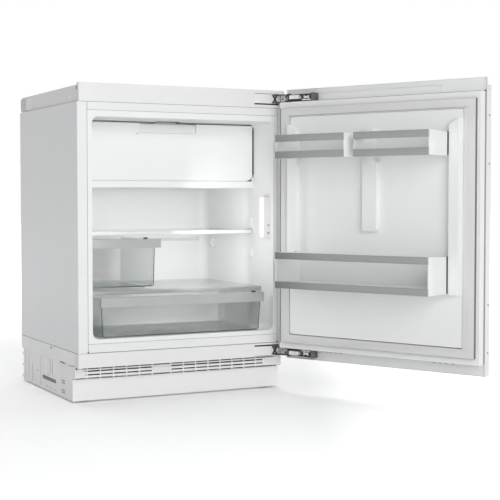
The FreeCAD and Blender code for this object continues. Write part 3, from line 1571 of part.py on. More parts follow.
def hinge_damper():
    """The white closing damper that lies in the arm's channel."""
    low = hinge_bottom + leaf_t + leaf_gap + arm_flange_t + skin_gap
    high = hinge_bottom + hinge_h - leaf_t - leaf_gap - arm_flange_t - skin_gap
    face = -door_t + door_skin + arm_t + skin_gap
    plan = [(damper_left, face), (damper_right, face), (damper_right, -arm_wall_y - arm_t * 3, arm_t),
            (damper_right - arm_t * 4, -damper_front, arm_t), (damper_left, -damper_front, arm_t)]
    return prism("Z", plan, low, high)


def hinge_clip():
    """The bright spring cross beside the damper."""
    low = hinge_bottom + leaf_t + leaf_gap + arm_flange_t + skin_gap
    high = hinge_bottom + hinge_h - leaf_t - leaf_gap - arm_flange_t - skin_gap
    face = -door_t + door_skin + arm_t + skin_gap
    w = clip_bar_w / 2
    bars = []
    for a, b in ((low, high), (high, low)):
        side = 1 if b > a else -1
        bars.append(prism("Y", [(clip_left, a), (clip_left + w, a), (clip_right, b - side * w), (clip_right, b),
                                (clip_right - w, b), (clip_left, a + side * w)], face, -arm_wall_y))
    return fuse(bars)


def hinge_end_cap():
    """The dark cap over the arm's far end."""
    low, high = hinge_bottom, hinge_bottom + hinge_h
    face = -door_t + door_skin
    arm_low = low + leaf_t + leaf_gap - skin_gap
    arm_high = high - leaf_t - leaf_gap + skin_gap
    body = block(cap_left - arm_t - fit_gap * 2, face + skin_gap, low, cap_right, -arm_wall_y + arm_t, high)
    room = block(arm_left - skin_gap, face - overrun, arm_low, cap_right + overrun, -arm_wall_y + skin_gap,
                 arm_high)
    return body.cut(room)


# Door racks

def rack(left, right, bottom, top):
    """One door rack: its tray with notched ends, its clear front and its two metal bars."""
    back = -plug_face + fit_gap
    front = rack_front - bar_t - skin_gap
    floor_low = bottom + rack_floor_up
    ends = []
    for x, side in ((left, 1), (right, -1)):
        span = sorted((x, x + side * rack_t))
        cheek = [(back, floor_low - rack_floor_up / 2), (peg_y + peg_d * 2, bottom), (front, bottom),
                 (front, top), (front - bar_h, top), (back, bottom + rack_back_h + rack_floor_up, bar_h)]
        ends.append(prism("X", cheek, *span))
    floor = block(left, back, floor_low, right, front - window_t - skin_gap, floor_low + rack_floor_t)
    rear = block(left, back, floor_low - rack_floor_up / 2, right, back + rack_t, floor_low + rack_back_h)
    notch = block(left - overrun, peg_y - notch_gap, bottom - overrun, right + overrun,
                  peg_y + peg_d + notch_gap, floor_low)
    tray = cut(fuse(ends + [floor, rear]), [notch])
    window = block(left + rack_t + skin_gap, front - window_t, bottom + fit_gap, right - rack_t - skin_gap,
                   front, top - fit_gap * 2)
    bars = [prism("Y", rounded(left, low, right, low + bar_h, window_t), front + skin_gap, rack_front)
            for low in (bottom, top - bar_h)]
    return hung(tray), [hung(piece) for piece in bars + [window]]


def build():
    os.makedirs("parts", exist_ok=True)
    panel = side_panel()
    save("side_panels", panel, mirror_x(panel))
    save("inner_liner", inner_liner())
    save("insulation_foam", insulation_foam(), freezer_deck_foam())
    save("bay_cover", bay_cover())
    save("back_panel", back_panel())
    save("top_frame", top_frame())
    save("top_fascia", top_fascia())
    save("wall_bracket", wall_bracket())
    save("front_rails", front_rail(liner_flange_top + fit_gap, fascia_bottom - fit_gap),
         front_rail(base_h + sheet_t + fit_gap, liner_flange_bottom - fit_gap))
    save("base_front_rail", base_front_rail())
    save("vent_grille", vent_grille())
    save("plinth_panel", plinth_panel())
    side = base_side()
    save("base_side_right", side)
    save("base_side_left", mirror_x(side))
    save("base_plate", base_plate(), *foot_nuts())
    save("base_rear_beam", base_rear_beam())
    save("foot_left", foot(-foot_x, foot_front_y))
    save("foot_right", foot(foot_x, foot_front_y))
    save("rear_feet", foot(-foot_x, foot_rear_y), foot(foot_x, foot_rear_y))

    save("compressor", compressor(), terminal_box())
    save("compressor_mounts", *compressor_mounts())
    save("evaporation_tray", evaporation_tray())
    save("condenser", *condenser())
    save("refrigerant_pipes", *refrigerant_pipes())

    save("freezer_deck", freezer_deck())
    save("freezer_frame", freezer_frame())
    save("freezer_box", freezer_box())
    save("evaporator", evaporator())
    save("flap_shell", flap_shell())
    save("flap_inner", flap_inner())
    save("flap_gasket", flap_gasket())

    save("control_housing", control_housing(), lamp_cover())
    save("temperature_button", button(0))
    save("cooling_button", button(1))

    save("upper_shelf_glass", shelf_glass(upper_shelf_front, upper_shelf_bottom, upper_shelf_d))
    save("upper_shelf_trim", shelf_trim(upper_shelf_front, upper_shelf_bottom))
    save("lower_shelf_glass", shelf_glass(lower_shelf_front, lower_shelf_bottom, lower_shelf_d))
    save("lower_shelf_trim", shelf_trim(lower_shelf_front, lower_shelf_bottom))
    save("drawer_tub", drawer_tub())
    save("drawer_trim", drawer_trim())
    save("drawer_slider", slider(drawer_knob_x, trim_front, drawer_trim_top))
    save("box_tub", box_tub())
    save("box_trim", box_trim())
    save("box_slider", slider(box_knob_x, box_trim_front, box_trim_top))

    save("door_outer_panel", hung(door_outer_panel()))
    save("door_liner", hung(door_liner()))
    save("door_foam", hung(door_foam()))
    save("door_gasket", hung(door_gasket()))
    save("door_fixing_rails", hung(door_batten()), hung(door_side_rail()))

    housing, cover, bracket, pin = hinge_housing(), hinge_cover(), hinge_bracket(), hinge_pin()
    save("hinge_housings", housing, cover, lower(housing), lower(cover))
    save("hinge_brackets", bracket, lower(bracket))
    save("hinge_pins", pin, lower(pin))
    arm = hinge_arm()
    save("hinge_arms", hung(arm), hung(lower(arm)))
    trims = (hinge_damper(), hinge_clip(), hinge_end_cap())
    save("hinge_trims", *[hung(piece) for trim in trims for piece in (trim, lower(trim))])

    racks = (("lower_rack", -rack_half, rack_half, lower_rack_bottom, lower_rack_top),
             ("hinge_side_rack", rack_middle, rack_half, upper_rack_bottom, upper_rack_top),
             ("free_side_rack", -rack_half, -rack_middle, upper_rack_bottom, upper_rack_top))
    for name, left, right, bottom, top in racks:
        tray, front = rack(left, right, bottom, top)
        save(f"{name}_tray", tray)
        save(f"{name}_front", *front)


if __name__ == "__main__":
    build()
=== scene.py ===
import math

import bmesh
import bpy
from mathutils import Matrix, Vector


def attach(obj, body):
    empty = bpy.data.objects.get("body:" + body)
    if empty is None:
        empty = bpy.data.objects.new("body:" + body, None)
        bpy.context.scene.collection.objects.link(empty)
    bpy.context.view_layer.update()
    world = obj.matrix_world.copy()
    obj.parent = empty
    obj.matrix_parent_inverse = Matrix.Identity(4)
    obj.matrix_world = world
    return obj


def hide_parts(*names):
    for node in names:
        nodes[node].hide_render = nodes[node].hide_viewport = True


# Looks of a built-under refrigerator that stands with its door open.
# The helpers that shape pieces take millimetres. Patterns, lamps and the camera are in metres.

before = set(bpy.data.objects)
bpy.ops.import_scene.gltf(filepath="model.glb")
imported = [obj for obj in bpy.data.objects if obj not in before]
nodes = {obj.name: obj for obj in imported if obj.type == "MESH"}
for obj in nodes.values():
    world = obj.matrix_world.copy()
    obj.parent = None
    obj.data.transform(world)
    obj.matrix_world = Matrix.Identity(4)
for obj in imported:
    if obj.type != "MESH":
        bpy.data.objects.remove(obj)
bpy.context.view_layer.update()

# The pivot is the hinge pins' place. Facing is the least cosine of a face that looks along an axis.

mm = 0.001
pivot = (288, -40, 0)
door_open_deg = 115
hinge_middle_z = 453.5
facing = 0.9
sharp_above = math.radians(35)
smooth_below = math.radians(40)
both_sides = ((-1, "left"), (1, "right"))


# Selecting and shaping pieces

def select_only(*objects):
    bpy.ops.object.select_all(action="DESELECT")
    for piece in objects:
        piece.select_set(True)
    bpy.context.view_layer.objects.active = objects[0]


def apply_place():
    """Moves the active piece's place, turn and size into its mesh."""
    bpy.ops.object.transform_apply(location=True, rotation=True, scale=True)


def start_block(name, low, high):
    """A block between two corners, its place in its mesh."""
    bpy.ops.object.select_all(action="DESELECT")
    middle = [(a + b) / 2 * mm for a, b in zip(low, high)]
    bpy.ops.mesh.primitive_cube_add(size=1, location=middle)
    piece = bpy.context.object
    piece.name = name
    piece.scale = [(b - a) * mm for a, b in zip(low, high)]
    apply_place()
    return piece


def start_rod(name, centre, radius, length, axis, sides):
    """A round bar about a centre, along X or Y, its place in its mesh."""
    bpy.ops.object.select_all(action="DESELECT")
    turn = {"X": (0, math.pi / 2, 0), "Y": (math.pi / 2, 0, 0)}[axis]
    bpy.ops.mesh.primitive_cylinder_add(vertices=sides, radius=radius * mm, depth=length * mm,
                                        location=[value * mm for value in centre], rotation=turn)
    piece = bpy.context.object
    piece.name = name
    apply_place()
    return piece


def pick_faces(piece, wanted):
    """Edit mode, with only the faces selected that wanted(centre in mm, normal) accepts."""
    select_only(piece)
    bpy.ops.object.mode_set(mode="EDIT")
    bpy.ops.mesh.select_mode(type="FACE")
    bpy.ops.mesh.select_all(action="DESELECT")
    shape = bmesh.from_edit_mesh(piece.data)
    for face in shape.faces:
        face.select = bool(wanted(face.calc_center_median() / mm, face.normal))
    shape.select_flush_mode()
    bmesh.update_edit_mesh(piece.data)


def pick_points(piece, wanted):
    """Edit mode, with only the points selected that wanted(place in mm) accepts."""
    select_only(piece)
    bpy.ops.object.mode_set(mode="EDIT")
    bpy.ops.mesh.select_mode(type="VERT")
    bpy.ops.mesh.select_all(action="DESELECT")
    shape = bmesh.from_edit_mesh(piece.data)
    for point in shape.verts:
        point.select = bool(wanted(point.co / mm))
    shape.select_flush_mode()
    bmesh.update_edit_mesh(piece.data)


def leave_edit():
    bpy.ops.object.mode_set(mode="OBJECT")


def slice_at(piece, axis, places):
    """Cuts new edge loops across one axis."""
    select_only(piece)
    bpy.ops.object.mode_set(mode="EDIT")
    normal = [1.0 if i == axis else 0.0 for i in range(3)]
    for place in places:
        bpy.ops.mesh.select_all(action="SELECT")
        bpy.ops.mesh.bisect(plane_co=[value * place * mm for value in normal], plane_no=normal)
    leave_edit()


def push(x=0.0, y=0.0, z=0.0):
    """Moves what is selected in edit mode."""
    bpy.ops.transform.translate(value=(x * mm, y * mm, z * mm))


def extrude(x=0.0, y=0.0, z=0.0):
    """Extrudes the faces that are selected in edit mode."""
    bpy.ops.mesh.extrude_region_move(TRANSFORM_OT_translate={"value": (x * mm, y * mm, z * mm)})


def sink_face(piece, axis, border, depth):
    """Insets the face at an axis's low end and moves its middle in, or out for a negative depth."""
    pick_faces(piece, lambda centre, normal: normal[axis] < -facing)
    bpy.ops.mesh.inset(thickness=border * mm)
    push(*[depth if i == axis else 0.0 for i in range(3)])
    leave_edit()


def round_edges(piece, width, steps):
    """Rounds every sharp edge and shades the rest smooth."""
    select_only(piece)
    bevel = piece.modifiers.new("edges", "BEVEL")
    bevel.width = width * mm
    bevel.segments = steps
    bevel.limit_method = "ANGLE"
    bevel.angle_limit = sharp_above
    bpy.ops.object.modifier_apply(modifier="edges")
    bpy.ops.object.shade_smooth_by_angle(angle=smooth_below)


def join(name, *pieces):
    select_only(*pieces)
    bpy.ops.object.join()
    piece = bpy.context.object
    piece.name = name
    return piece


def rounded_block(name, low, high, width, steps=2):
    piece = start_block(name, low, high)
    round_edges(piece, width, steps)
    return piece


def rounded_rod(name, centre, radius, length, axis, sides, width, steps=2):
    piece = start_rod(name, centre, radius, length, axis, sides)
    round_edges(piece, width, steps)
    return piece


def joined_blocks(name, corners, width, steps=2):
    """One piece of several rounded blocks, each given by its two corners."""
    return join(name, *[rounded_block("block", low, high, width, steps) for low, high in corners])


def joined_rods(name, centres, radius, length, axis, sides, width, steps=2):
    """One piece of several equal rounded rods."""
    return join(name, *[rounded_rod("rod", centre, radius, length, axis, sides, width, steps)
                        for centre in centres])


def on_side(side, low, high):
    """A block's corners as given for the right side (1), mirrored for the left one (-1)."""
    x = sorted((side * low[0], side * high[0]))
    return (x[0], *low[1:]), (x[1], *high[1:])


def open_ring(name, low, high, wall_x, wall_z):
    """A rectangular ring in the XZ plane: a block whose inset front and back are bridged."""
    piece = start_block(name, low, high)
    pick_faces(piece, lambda centre, normal: abs(normal.y) > facing)
    bpy.ops.mesh.inset(thickness=wall_z * mm, use_even_offset=True)
    half = (high[0] - low[0]) / 2
    middle = [(a + b) / 2 * mm for a, b in zip(low, high)]
    bpy.ops.transform.resize(value=((half - wall_x) / (half - wall_z), 1, 1), center_override=middle)
    bpy.ops.mesh.bridge_edge_loops()
    leave_edit()
    return piece


def turn_piece(piece, degrees, axis, centre):
    """Turns a piece about an axis through a centre."""
    select_only(piece)
    bpy.ops.transform.rotate(value=math.radians(degrees), orient_axis=axis,
                             center_override=[value * mm for value in centre])
    apply_place()


def swing_open(piece):
    """Turns a piece drawn on the closed door to where the open door has it."""
    turn_piece(piece, -door_open_deg, "Z", pivot)


def lower_copy(piece, name):
    """The lower hinge's copy of an upper hinge piece, with its own mesh."""
    select_only(piece)
    bpy.ops.object.duplicate()
    twin = bpy.context.object
    twin.name = name
    bpy.ops.transform.mirror(constraint_axis=(False, False, True),
                             center_override=(0, 0, hinge_middle_z * mm))
    apply_place()
    bpy.ops.object.mode_set(mode="EDIT")
    bpy.ops.mesh.select_all(action="SELECT")
    bpy.ops.mesh.normals_make_consistent(inside=False)
    leave_edit()
    return twin


def put_on(piece, body, material, stands_for=()):
    """Gives a finished piece its material, its body and the nodes that it stands for."""
    piece.data.materials.clear()
    piece.data.materials.append(material)
    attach(piece, body)
    if stands_for:
        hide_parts(*stands_for)


# Materials

def start_material(name, colour, roughness, metallic=0.0):
    material = bpy.data.materials.new(name)
    material.use_nodes = True
    shader = material.node_tree.nodes["Principled BSDF"]
    shader.inputs["Base Color"].default_value = (*colour, 1)
    shader.inputs["Roughness"].default_value = roughness
    shader.inputs["Metallic"].default_value = metallic
    return material, material.node_tree, shader


def place_pattern(tree, scale=(1, 1, 1), turn=(0, 0, 0)):
    """Object coordinates, stretched and turned for a pattern."""
    where = tree.nodes.new("ShaderNodeTexCoord")
    mapping = tree.nodes.new("ShaderNodeMapping")
    mapping.inputs["Scale"].default_value = scale
    mapping.inputs["Rotation"].default_value = turn
    tree.links.new(where.outputs["Object"], mapping.inputs["Vector"])
    return mapping.outputs["Vector"]


def add_noise(tree, vector, scale, detail, roughness=0.5):
    noise = tree.nodes.new("ShaderNodeTexNoise")
    noise.inputs["Scale"].default_value = scale
    noise.inputs["Detail"].default_value = detail
    noise.inputs["Roughness"].default_value = roughness
    tree.links.new(vector, noise.inputs["Vector"])
    return noise.outputs["Fac"]


def spread(tree, value, low, high, start=0.3, end=0.7):
    """Maps a pattern to a range."""
    reach = tree.nodes.new("ShaderNodeMapRange")
    reach.inputs["From Min"].default_value = start
    reach.inputs["From Max"].default_value = end
    reach.inputs["To Min"].default_value = low
    reach.inputs["To Max"].default_value = high
    tree.links.new(value, reach.inputs["Value"])
    return reach.outputs["Result"]


def tint(tree, value, first, second):
    """A colour between two, following a pattern."""
    mix = tree.nodes.new("ShaderNodeMix")
    mix.data_type = "RGBA"
    factor_socket, first_socket, second_socket, result_socket = 0, 6, 7, 2
    mix.inputs[first_socket].default_value = (*first, 1)
    mix.inputs[second_socket].default_value = (*second, 1)
    tree.links.new(value, mix.inputs[factor_socket])
    return mix.outputs[result_socket]


def combine(tree, operation, first, second):
    """One value made of two."""
    step = tree.nodes.new("ShaderNodeMath")
    step.operation = operation
    tree.links.new(first, step.inputs[0])
    tree.links.new(second, step.inputs[1])
    return step.outputs[0]


def axis_value(tree, vector, axis):
    """One of a vector's three parts, X, Y or Z."""
    parts = tree.nodes.new("ShaderNodeSeparateXYZ")
    tree.links.new(vector, parts.inputs["Vector"])
    return parts.outputs[axis]


def emboss(tree, shader, value, strength, distance):
    bump = tree.nodes.new("ShaderNodeBump")
    bump.inputs["Strength"].default_value = strength
    bump.inputs["Distance"].default_value = distance
    tree.links.new(value, bump.inputs["Height"])
    tree.links.new(bump.outputs["Normal"], shader.inputs["Normal"])


def coated(name, colour, dark, roughness, grain, depth):
    """A painted or moulded surface: slight tone changes, uneven gloss and a fine skin."""
    material, tree, shader = start_material(name, colour, roughness)
    vector = place_pattern(tree)
    cloud_scale = 9
    wide = add_noise(tree, vector, cloud_scale, 2)
    fine = add_noise(tree, vector, grain, 2)
    tree.links.new(tint(tree, wide, dark, colour), shader.inputs["Base Color"])
    tree.links.new(spread(tree, fine, roughness * 0.85, roughness * 1.15), shader.inputs["Roughness"])
    emboss(tree, shader, fine, 0.3, depth)
    return material


def brushed(name, colour, dark, roughness, turn, scale):
    """Brushed metal whose lines run along the X axis of the turned pattern."""
    material, tree, shader = start_material(name, colour, roughness, 1.0)
    vector = place_pattern(tree, scale, turn)
    lines = add_noise(tree, vector, 1.0, 4, 0.6)
    tree.links.new(tint(tree, lines, dark, colour), shader.inputs["Base Color"])
    tree.links.new(spread(tree, lines, roughness * 0.8, roughness * 1.3), shader.inputs["Roughness"])
    emboss(tree, shader, lines, 0.2, 0.0001)
    return material


def galvanised(name):
    """Zinc-coated sheet with its spangle."""
    material, tree, shader = start_material(name, (0.60, 0.62, 0.64), 0.42, 1.0)
    vector = place_pattern(tree)
    spangle_scale, grain = 150, 400
    spangle = tree.nodes.new("ShaderNodeTexVoronoi")
    spangle.inputs["Scale"].default_value = spangle_scale
    tree.links.new(vector, spangle.inputs["Vector"])
    tone = tree.nodes.new("ShaderNodeSeparateColor")
    tree.links.new(spangle.outputs["Color"], tone.inputs["Color"])
    colour = tint(tree, tone.outputs["Red"], (0.56, 0.58, 0.60), (0.65, 0.67, 0.69))
    tree.links.new(colour, shader.inputs["Base Color"])
    tree.links.new(spread(tree, tone.outputs["Green"], 0.36, 0.5), shader.inputs["Roughness"])
    emboss(tree, shader, add_noise(tree, vector, grain, 2), 0.15, 0.0002)
    return material


def clear(name, colour, roughness, through, rim):
    """Clear glass or plastic: thin looked through, denser where it is seen along its wall."""
    material, tree, shader = start_material(name, colour, roughness)
    wave_scale, rim_blend = 14, 0.4
    waves = add_noise(tree, place_pattern(tree), wave_scale, 1)
    tree.links.new(spread(tree, waves, roughness, roughness * 2.5), shader.inputs["Roughness"])
    slant = tree.nodes.new("ShaderNodeLayerWeight")
    slant.inputs["Blend"].default_value = rim_blend
    tree.links.new(spread(tree, slant.outputs["Facing"], through, rim, 0.2, 1.0), shader.inputs["Alpha"])
    emboss(tree, shader, waves, 0.02, 0.001)
    return material


def dot_print(material, across, upward):
    """A printed dot screen on a clear wall that fades out across and upward, both in metres."""
    tree = material.node_tree
    shader = tree.nodes["Principled BSDF"]
    vector = place_pattern(tree)
    dots_per_metre, dot_radius, dot_edge, density = 270, 0.36, 0.44, 0.75
    dots = tree.nodes.new("ShaderNodeTexVoronoi")
    dots.voronoi_dimensions = "2D"
    dots.inputs["Scale"].default_value = dots_per_metre
    dots.inputs["Randomness"].default_value = 0.0
    tree.links.new(place_pattern(tree, turn=(math.pi / 2, 0, 0)), dots.inputs["Vector"])
    ink = spread(tree, dots.outputs["Distance"], density, 0.0, dot_radius, dot_edge)
    for axis, (start, end) in (("X", across), ("Z", upward)):
        fade = spread(tree, axis_value(tree, vector, axis), 1.0, 0.0, start, end)
        ink = combine(tree, "MULTIPLY", ink, fade)
    alpha = shader.inputs["Alpha"].links[0].from_socket
    tree.links.new(combine(tree, "MAXIMUM", alpha, ink), shader.inputs["Alpha"])


white_enamel = coated("white_enamel", (0.83, 0.835, 0.84), (0.80, 0.805, 0.81), 0.38, 500, 0.00002)
white_moulding = coated("white_moulding", (0.83, 0.83, 0.83), (0.80, 0.80, 0.80), 0.45, 1400, 0.00003)
liner_white = coated("liner_white", (0.86, 0.864, 0.864), (0.845, 0.849, 0.849), 0.42, 220, 0.000008)
rack_white = coated("rack_white", (0.84, 0.842, 0.842), (0.81, 0.813, 0.813), 0.3, 300, 0.00001)
zinc_sheet = galvanised("zinc_sheet")
black_paint = coated("black_paint", (0.022, 0.022, 0.023), (0.012, 0.012, 0.013), 0.32, 500, 0.00005)
black_moulding = coated("black_moulding", (0.035, 0.035, 0.036), (0.02, 0.02, 0.021), 0.5, 1200, 0.00005)
grey_moulding = coated("grey_moulding", (0.20, 0.20, 0.205), (0.15, 0.15, 0.155), 0.5, 1200, 0.00005)
mount_rubber = coated("mount_rubber", (0.03, 0.03, 0.03), (0.018, 0.018, 0.018), 0.75, 900, 0.00008)
seal_rubber = coated("seal_rubber", (0.72, 0.72, 0.72), (0.66, 0.66, 0.66), 0.55, 800, 0.00005)
# Dark grey: the gasket bellows' own grey with painted shade of their deep fold; it also paints the shade in
# gaps, grooves, notches and holes, and colours small dark marks and dashes.
bellows_grey_and_shade = coated("bellows_grey_and_shade", (0.19, 0.19, 0.19), (0.14, 0.14, 0.14), 0.7, 800, 0.00005)
trim_pale = coated("trim_pale", (0.60, 0.60, 0.60), (0.54, 0.54, 0.54), 0.5, 900, 0.00003)
seam_shade = coated("seam_shade", (0.10, 0.10, 0.10), (0.07, 0.07, 0.07), 0.8, 700, 0.00005)
# Painted shade: mid grey laid in grooves, joints and behind openings, where there is only shade.
groove_shade_grey = coated("groove_shade_grey", (0.34, 0.34, 0.34), (0.28, 0.28, 0.28), 0.8, 500, 0.00005)
foam_yellow = coated("foam_yellow", (0.80, 0.72, 0.45), (0.66, 0.58, 0.33), 0.85, 260, 0.0006)
copper_pipe = brushed("copper_pipe", (0.80, 0.42, 0.28), (0.55, 0.26, 0.16), 0.3, (0, 0, 0), (300, 300, 8))
hinge_black = coated("hinge_black", (0.030, 0.030, 0.031), (0.018, 0.018, 0.019), 0.45, 900, 0.00004)
hinge_white = coated("hinge_white", (0.84, 0.84, 0.84), (0.80, 0.80, 0.80), 0.4, 900, 0.00003)
bracket_zinc = coated("bracket_zinc", (0.62, 0.63, 0.64), (0.54, 0.55, 0.56), 0.4, 900, 0.00004)
button_grey = coated("button_grey", (0.46, 0.46, 0.46), (0.40, 0.40, 0.40), 0.45, 1200, 0.00004)
cap_grey = coated("cap_grey", (0.15, 0.15, 0.155), (0.10, 0.10, 0.105), 0.6, 1100, 0.00005)
roll_bond = brushed("roll_bond", (0.72, 0.73, 0.74), (0.6, 0.61, 0.62), 0.35, (0, 0, 0), (8, 600, 600))
rack_aluminium = brushed("rack_aluminium", (0.36, 0.365, 0.37), (0.27, 0.275, 0.28), 0.36,
                         (0, 0, -math.radians(door_open_deg)), (5, 700, 700))
trim_silver = coated("trim_silver", (0.47, 0.48, 0.48), (0.40, 0.41, 0.41), 0.3, 600, 0.00002)
shelf_glass = clear("shelf_glass", (0.62, 0.70, 0.67), 0.05, 0.08, 0.6)
tub_clear = clear("tub_clear", (0.40, 0.45, 0.44), 0.08, 0.03, 0.45)
dot_print(tub_clear, (-0.225, -0.07), (0.172, 0.212))
box_clear = clear("box_clear", (0.40, 0.45, 0.44), 0.08, 0.03, 0.45)
dot_print(box_clear, (-0.245, -0.10), (0.292, 0.335))
# Painted shade: dark lines where a clear tub's walls are looked along.
tub_wall_edge_shade = coated("tub_wall_edge_shade", (0.05, 0.065, 0.062), (0.035, 0.05, 0.047), 0.3, 500, 0.00002)
# Painted light: the plinth and base sides take a brighter copy of the white moulding, to make up for the
# little light that reaches them low down.
plinth_lightened_white = coated("plinth_lightened_white", (0.92, 0.92, 0.92), (0.90, 0.90, 0.90), 0.45, 1400, 0.00003)
window_clear = clear("window_clear", (0.55, 0.58, 0.57), 0.06, 0.10, 0.7)

lamp_cover, lamp_tree, lamp_shader = start_material("lamp_cover", (0.95, 0.95, 0.94), 0.25)
lamp_shader.inputs["Emission Color"].default_value = (1.0, 0.99, 0.97, 1)
lamp_shader.inputs["Emission Strength"].default_value = 0.12
lamp_ribs = add_noise(lamp_tree, place_pattern(lamp_tree, (1, 1, 60)), 8, 1)
emboss(lamp_tree, lamp_shader, lamp_ribs, 0.3, 0.0004)

node_materials = {
    white_enamel: ("side_panels", "front_rails", "door_outer_panel", "door_fixing_rails"),
    plinth_lightened_white: ("plinth_panel", "base_side_right", "base_side_left"),
    white_moulding: ("top_frame", "top_fascia", "base_front_rail", "vent_grille", "control_housing",
                     "upper_shelf_trim"),
    liner_white: ("inner_liner", "freezer_deck", "freezer_frame", "freezer_box", "flap_shell", "flap_inner",
                  "door_liner"),
    rack_white: ("lower_rack_tray", "hinge_side_rack_tray", "free_side_rack_tray"),
    zinc_sheet: ("bay_cover", "back_panel", "base_plate"),
    bracket_zinc: ("wall_bracket",),
    black_paint: ("compressor", "condenser"),
    black_moulding: ("base_rear_beam", "evaporation_tray", "drawer_slider", "box_slider"),
    grey_moulding: ("rear_feet", "foot_left", "foot_right"),
    button_grey: ("temperature_button", "cooling_button"),
    mount_rubber: ("compressor_mounts",),
    seal_rubber: ("flap_gasket",),
    foam_yellow: ("insulation_foam", "door_foam"),
    copper_pipe: ("refrigerant_pipes",),
    hinge_black: ("hinge_brackets", "hinge_arms", "hinge_pins"),
    roll_bond: ("evaporator",),
    trim_silver: ("lower_shelf_trim", "drawer_trim", "box_trim"),
    shelf_glass: ("lower_shelf_glass", "upper_shelf_glass"),
    tub_clear: ("drawer_tub",),
    box_clear: ("box_tub",),
}
for finish, names in node_materials.items():
    for name in names:
        nodes[name].data.materials.clear()
        nodes[name].data.materials.append(finish)


# Door racks: metal bars and a clear window in front of each tray

def rack_front(rack, left, right, bottom, top):
    bar_height, front, depth, window = 17.5, 108, 3, 1.6
    back = front - depth
    bars = joined_blocks(f"{rack}_bars", [((left, back, low), (right, front, low + bar_height))
                                          for low in (bottom, top - bar_height)], 1.1, 3)
    pane = rounded_block(f"{rack}_window", (left + 2.6, back - window, bottom + 0.3),
                         (right - 2.6, back - 0.05, top - 0.6), 0.4)
    for piece, material, slot in ((bars, rack_aluminium, "aluminium"),
                                  (pane, window_clear, "clear_plastic")):
        swing_open(piece)
        put_on(piece, rack, material, (f"{rack}_front",))


def rack_cheeks(rack, left, right, bottom, top):
    """Upright end plates from the door to the bars, with a dark strip of painted shade in the gap where they
    meet its dyke.
    """
    plates = []
    gap_shades = []
    for end, inwards in ((left, 1), (right, -1)):
        x = sorted((end - inwards * 0.25, end + inwards * 2.4))
        plate = start_block("plate", (x[0], -2.4, bottom + 0.4), (x[1], 104.6, top - 0.8))
        slice_at(plate, 1, (70,))
        pick_points(plate, lambda place: place.y < 0 and place.z > top - 2)
        push(z=-2.2)
        leave_edit()
        round_edges(plate, 0.5, 2)
        plates.append(plate)
        # Painted shade: a dark strip in the gap at the cheek's back edge, against the dyke.
        x = sorted((end - inwards * 0.8, end + inwards * 1.2))
        gap_shades.append(rounded_block("joint", (x[0], 13.5, bottom + 1), (x[1], 20, top - 1.4), 0.4))
    plates = join(f"{rack}_cheeks", *plates)
    gap_shades = join(f"{rack}_joints", *gap_shades)
    for piece, material, slot in ((plates, rack_white, "white_liner"), (gap_shades, seam_shade, "grey_seal")):
        swing_open(piece)
        put_on(piece, rack, material)


rack_places = (("lower_rack", -226, 226, 295, 388),
               ("hinge_side_rack", 14, 226, 630, 690),
               ("free_side_rack", -226, -14, 630, 690))
for rack_place in rack_places:
    rack_front(*rack_place)
    rack_cheeks(*rack_place)


# Door gasket: foot, folded bellows, magnet strip, lip and groove, and the liner's corners inside it, with
# painted shade in the bellows' fold and in the groove

def door_gasket():
    foot = open_ring("door_gasket_foot", (-291, -12, 139.5), (291, -10.6, 767.5), 28.5, 22.7)
    round_edges(foot, 0.4, 2)
    # The bellows are dark grey, partly their own colour and partly painted shade of their deep fold.
    bellows = open_ring("door_gasket_bellows", (-290.8, -10.6, 139.7), (290.8, -2.3, 767.3), 26.5, 20.7)
    fold_back, fold_front = -6.4, -4.4
    slice_at(bellows, 1, (-8.4, fold_back, fold_front))
    pick_faces(bellows, lambda centre, normal: abs(normal.y) < 0.5 and fold_back < centre.y < fold_front)
    bpy.ops.mesh.extrude_region_shrink_fatten(TRANSFORM_OT_shrink_fatten={"value": -1.2 * mm})
    leave_edit()
    magnet = open_ring("door_gasket_magnet", (-290.4, -2.5, 140.2), (287.2, -0.3, 766.8), 22.6, 20.2)
    round_edges(magnet, 0.9, 3)
    lip = open_ring("door_gasket_lip", (-268.5, -4.4, 159.8), (268.5, -0.8, 745.9), 9.1, 2.2)
    round_edges(lip, 0.4, 2)
    corners = joined_blocks("door_liner_corners", [((left, -9, low), (left + 26, -3.3, high))
                                                   for left in (-258, 232)
                                                   for low, high in ((164.2, 190), (717, 742.8))], 0.4)
    swing_open(corners)
    put_on(corners, "door", liner_white)
    # Painted shade: the groove ring is a dark strip in the gap inside the gasket.
    groove = open_ring("door_gasket_groove", (-262.4, -12.2, 162.3), (262.4, -9.2, 744.7), 1.5, 1.5)
    round_edges(groove, 0.3, 2)
    for piece, material in ((foot, seal_rubber), (bellows, bellows_grey_and_shade), (magnet, seal_rubber),
                            (lip, seal_rubber), (groove, bellows_grey_and_shade)):
        swing_open(piece)
        put_on(piece, "door", material, ("door_gasket",))


door_gasket()


# Painted shade in the joints, grooves, gaps and holes where two parts meet, and a few plugs, clips and pads

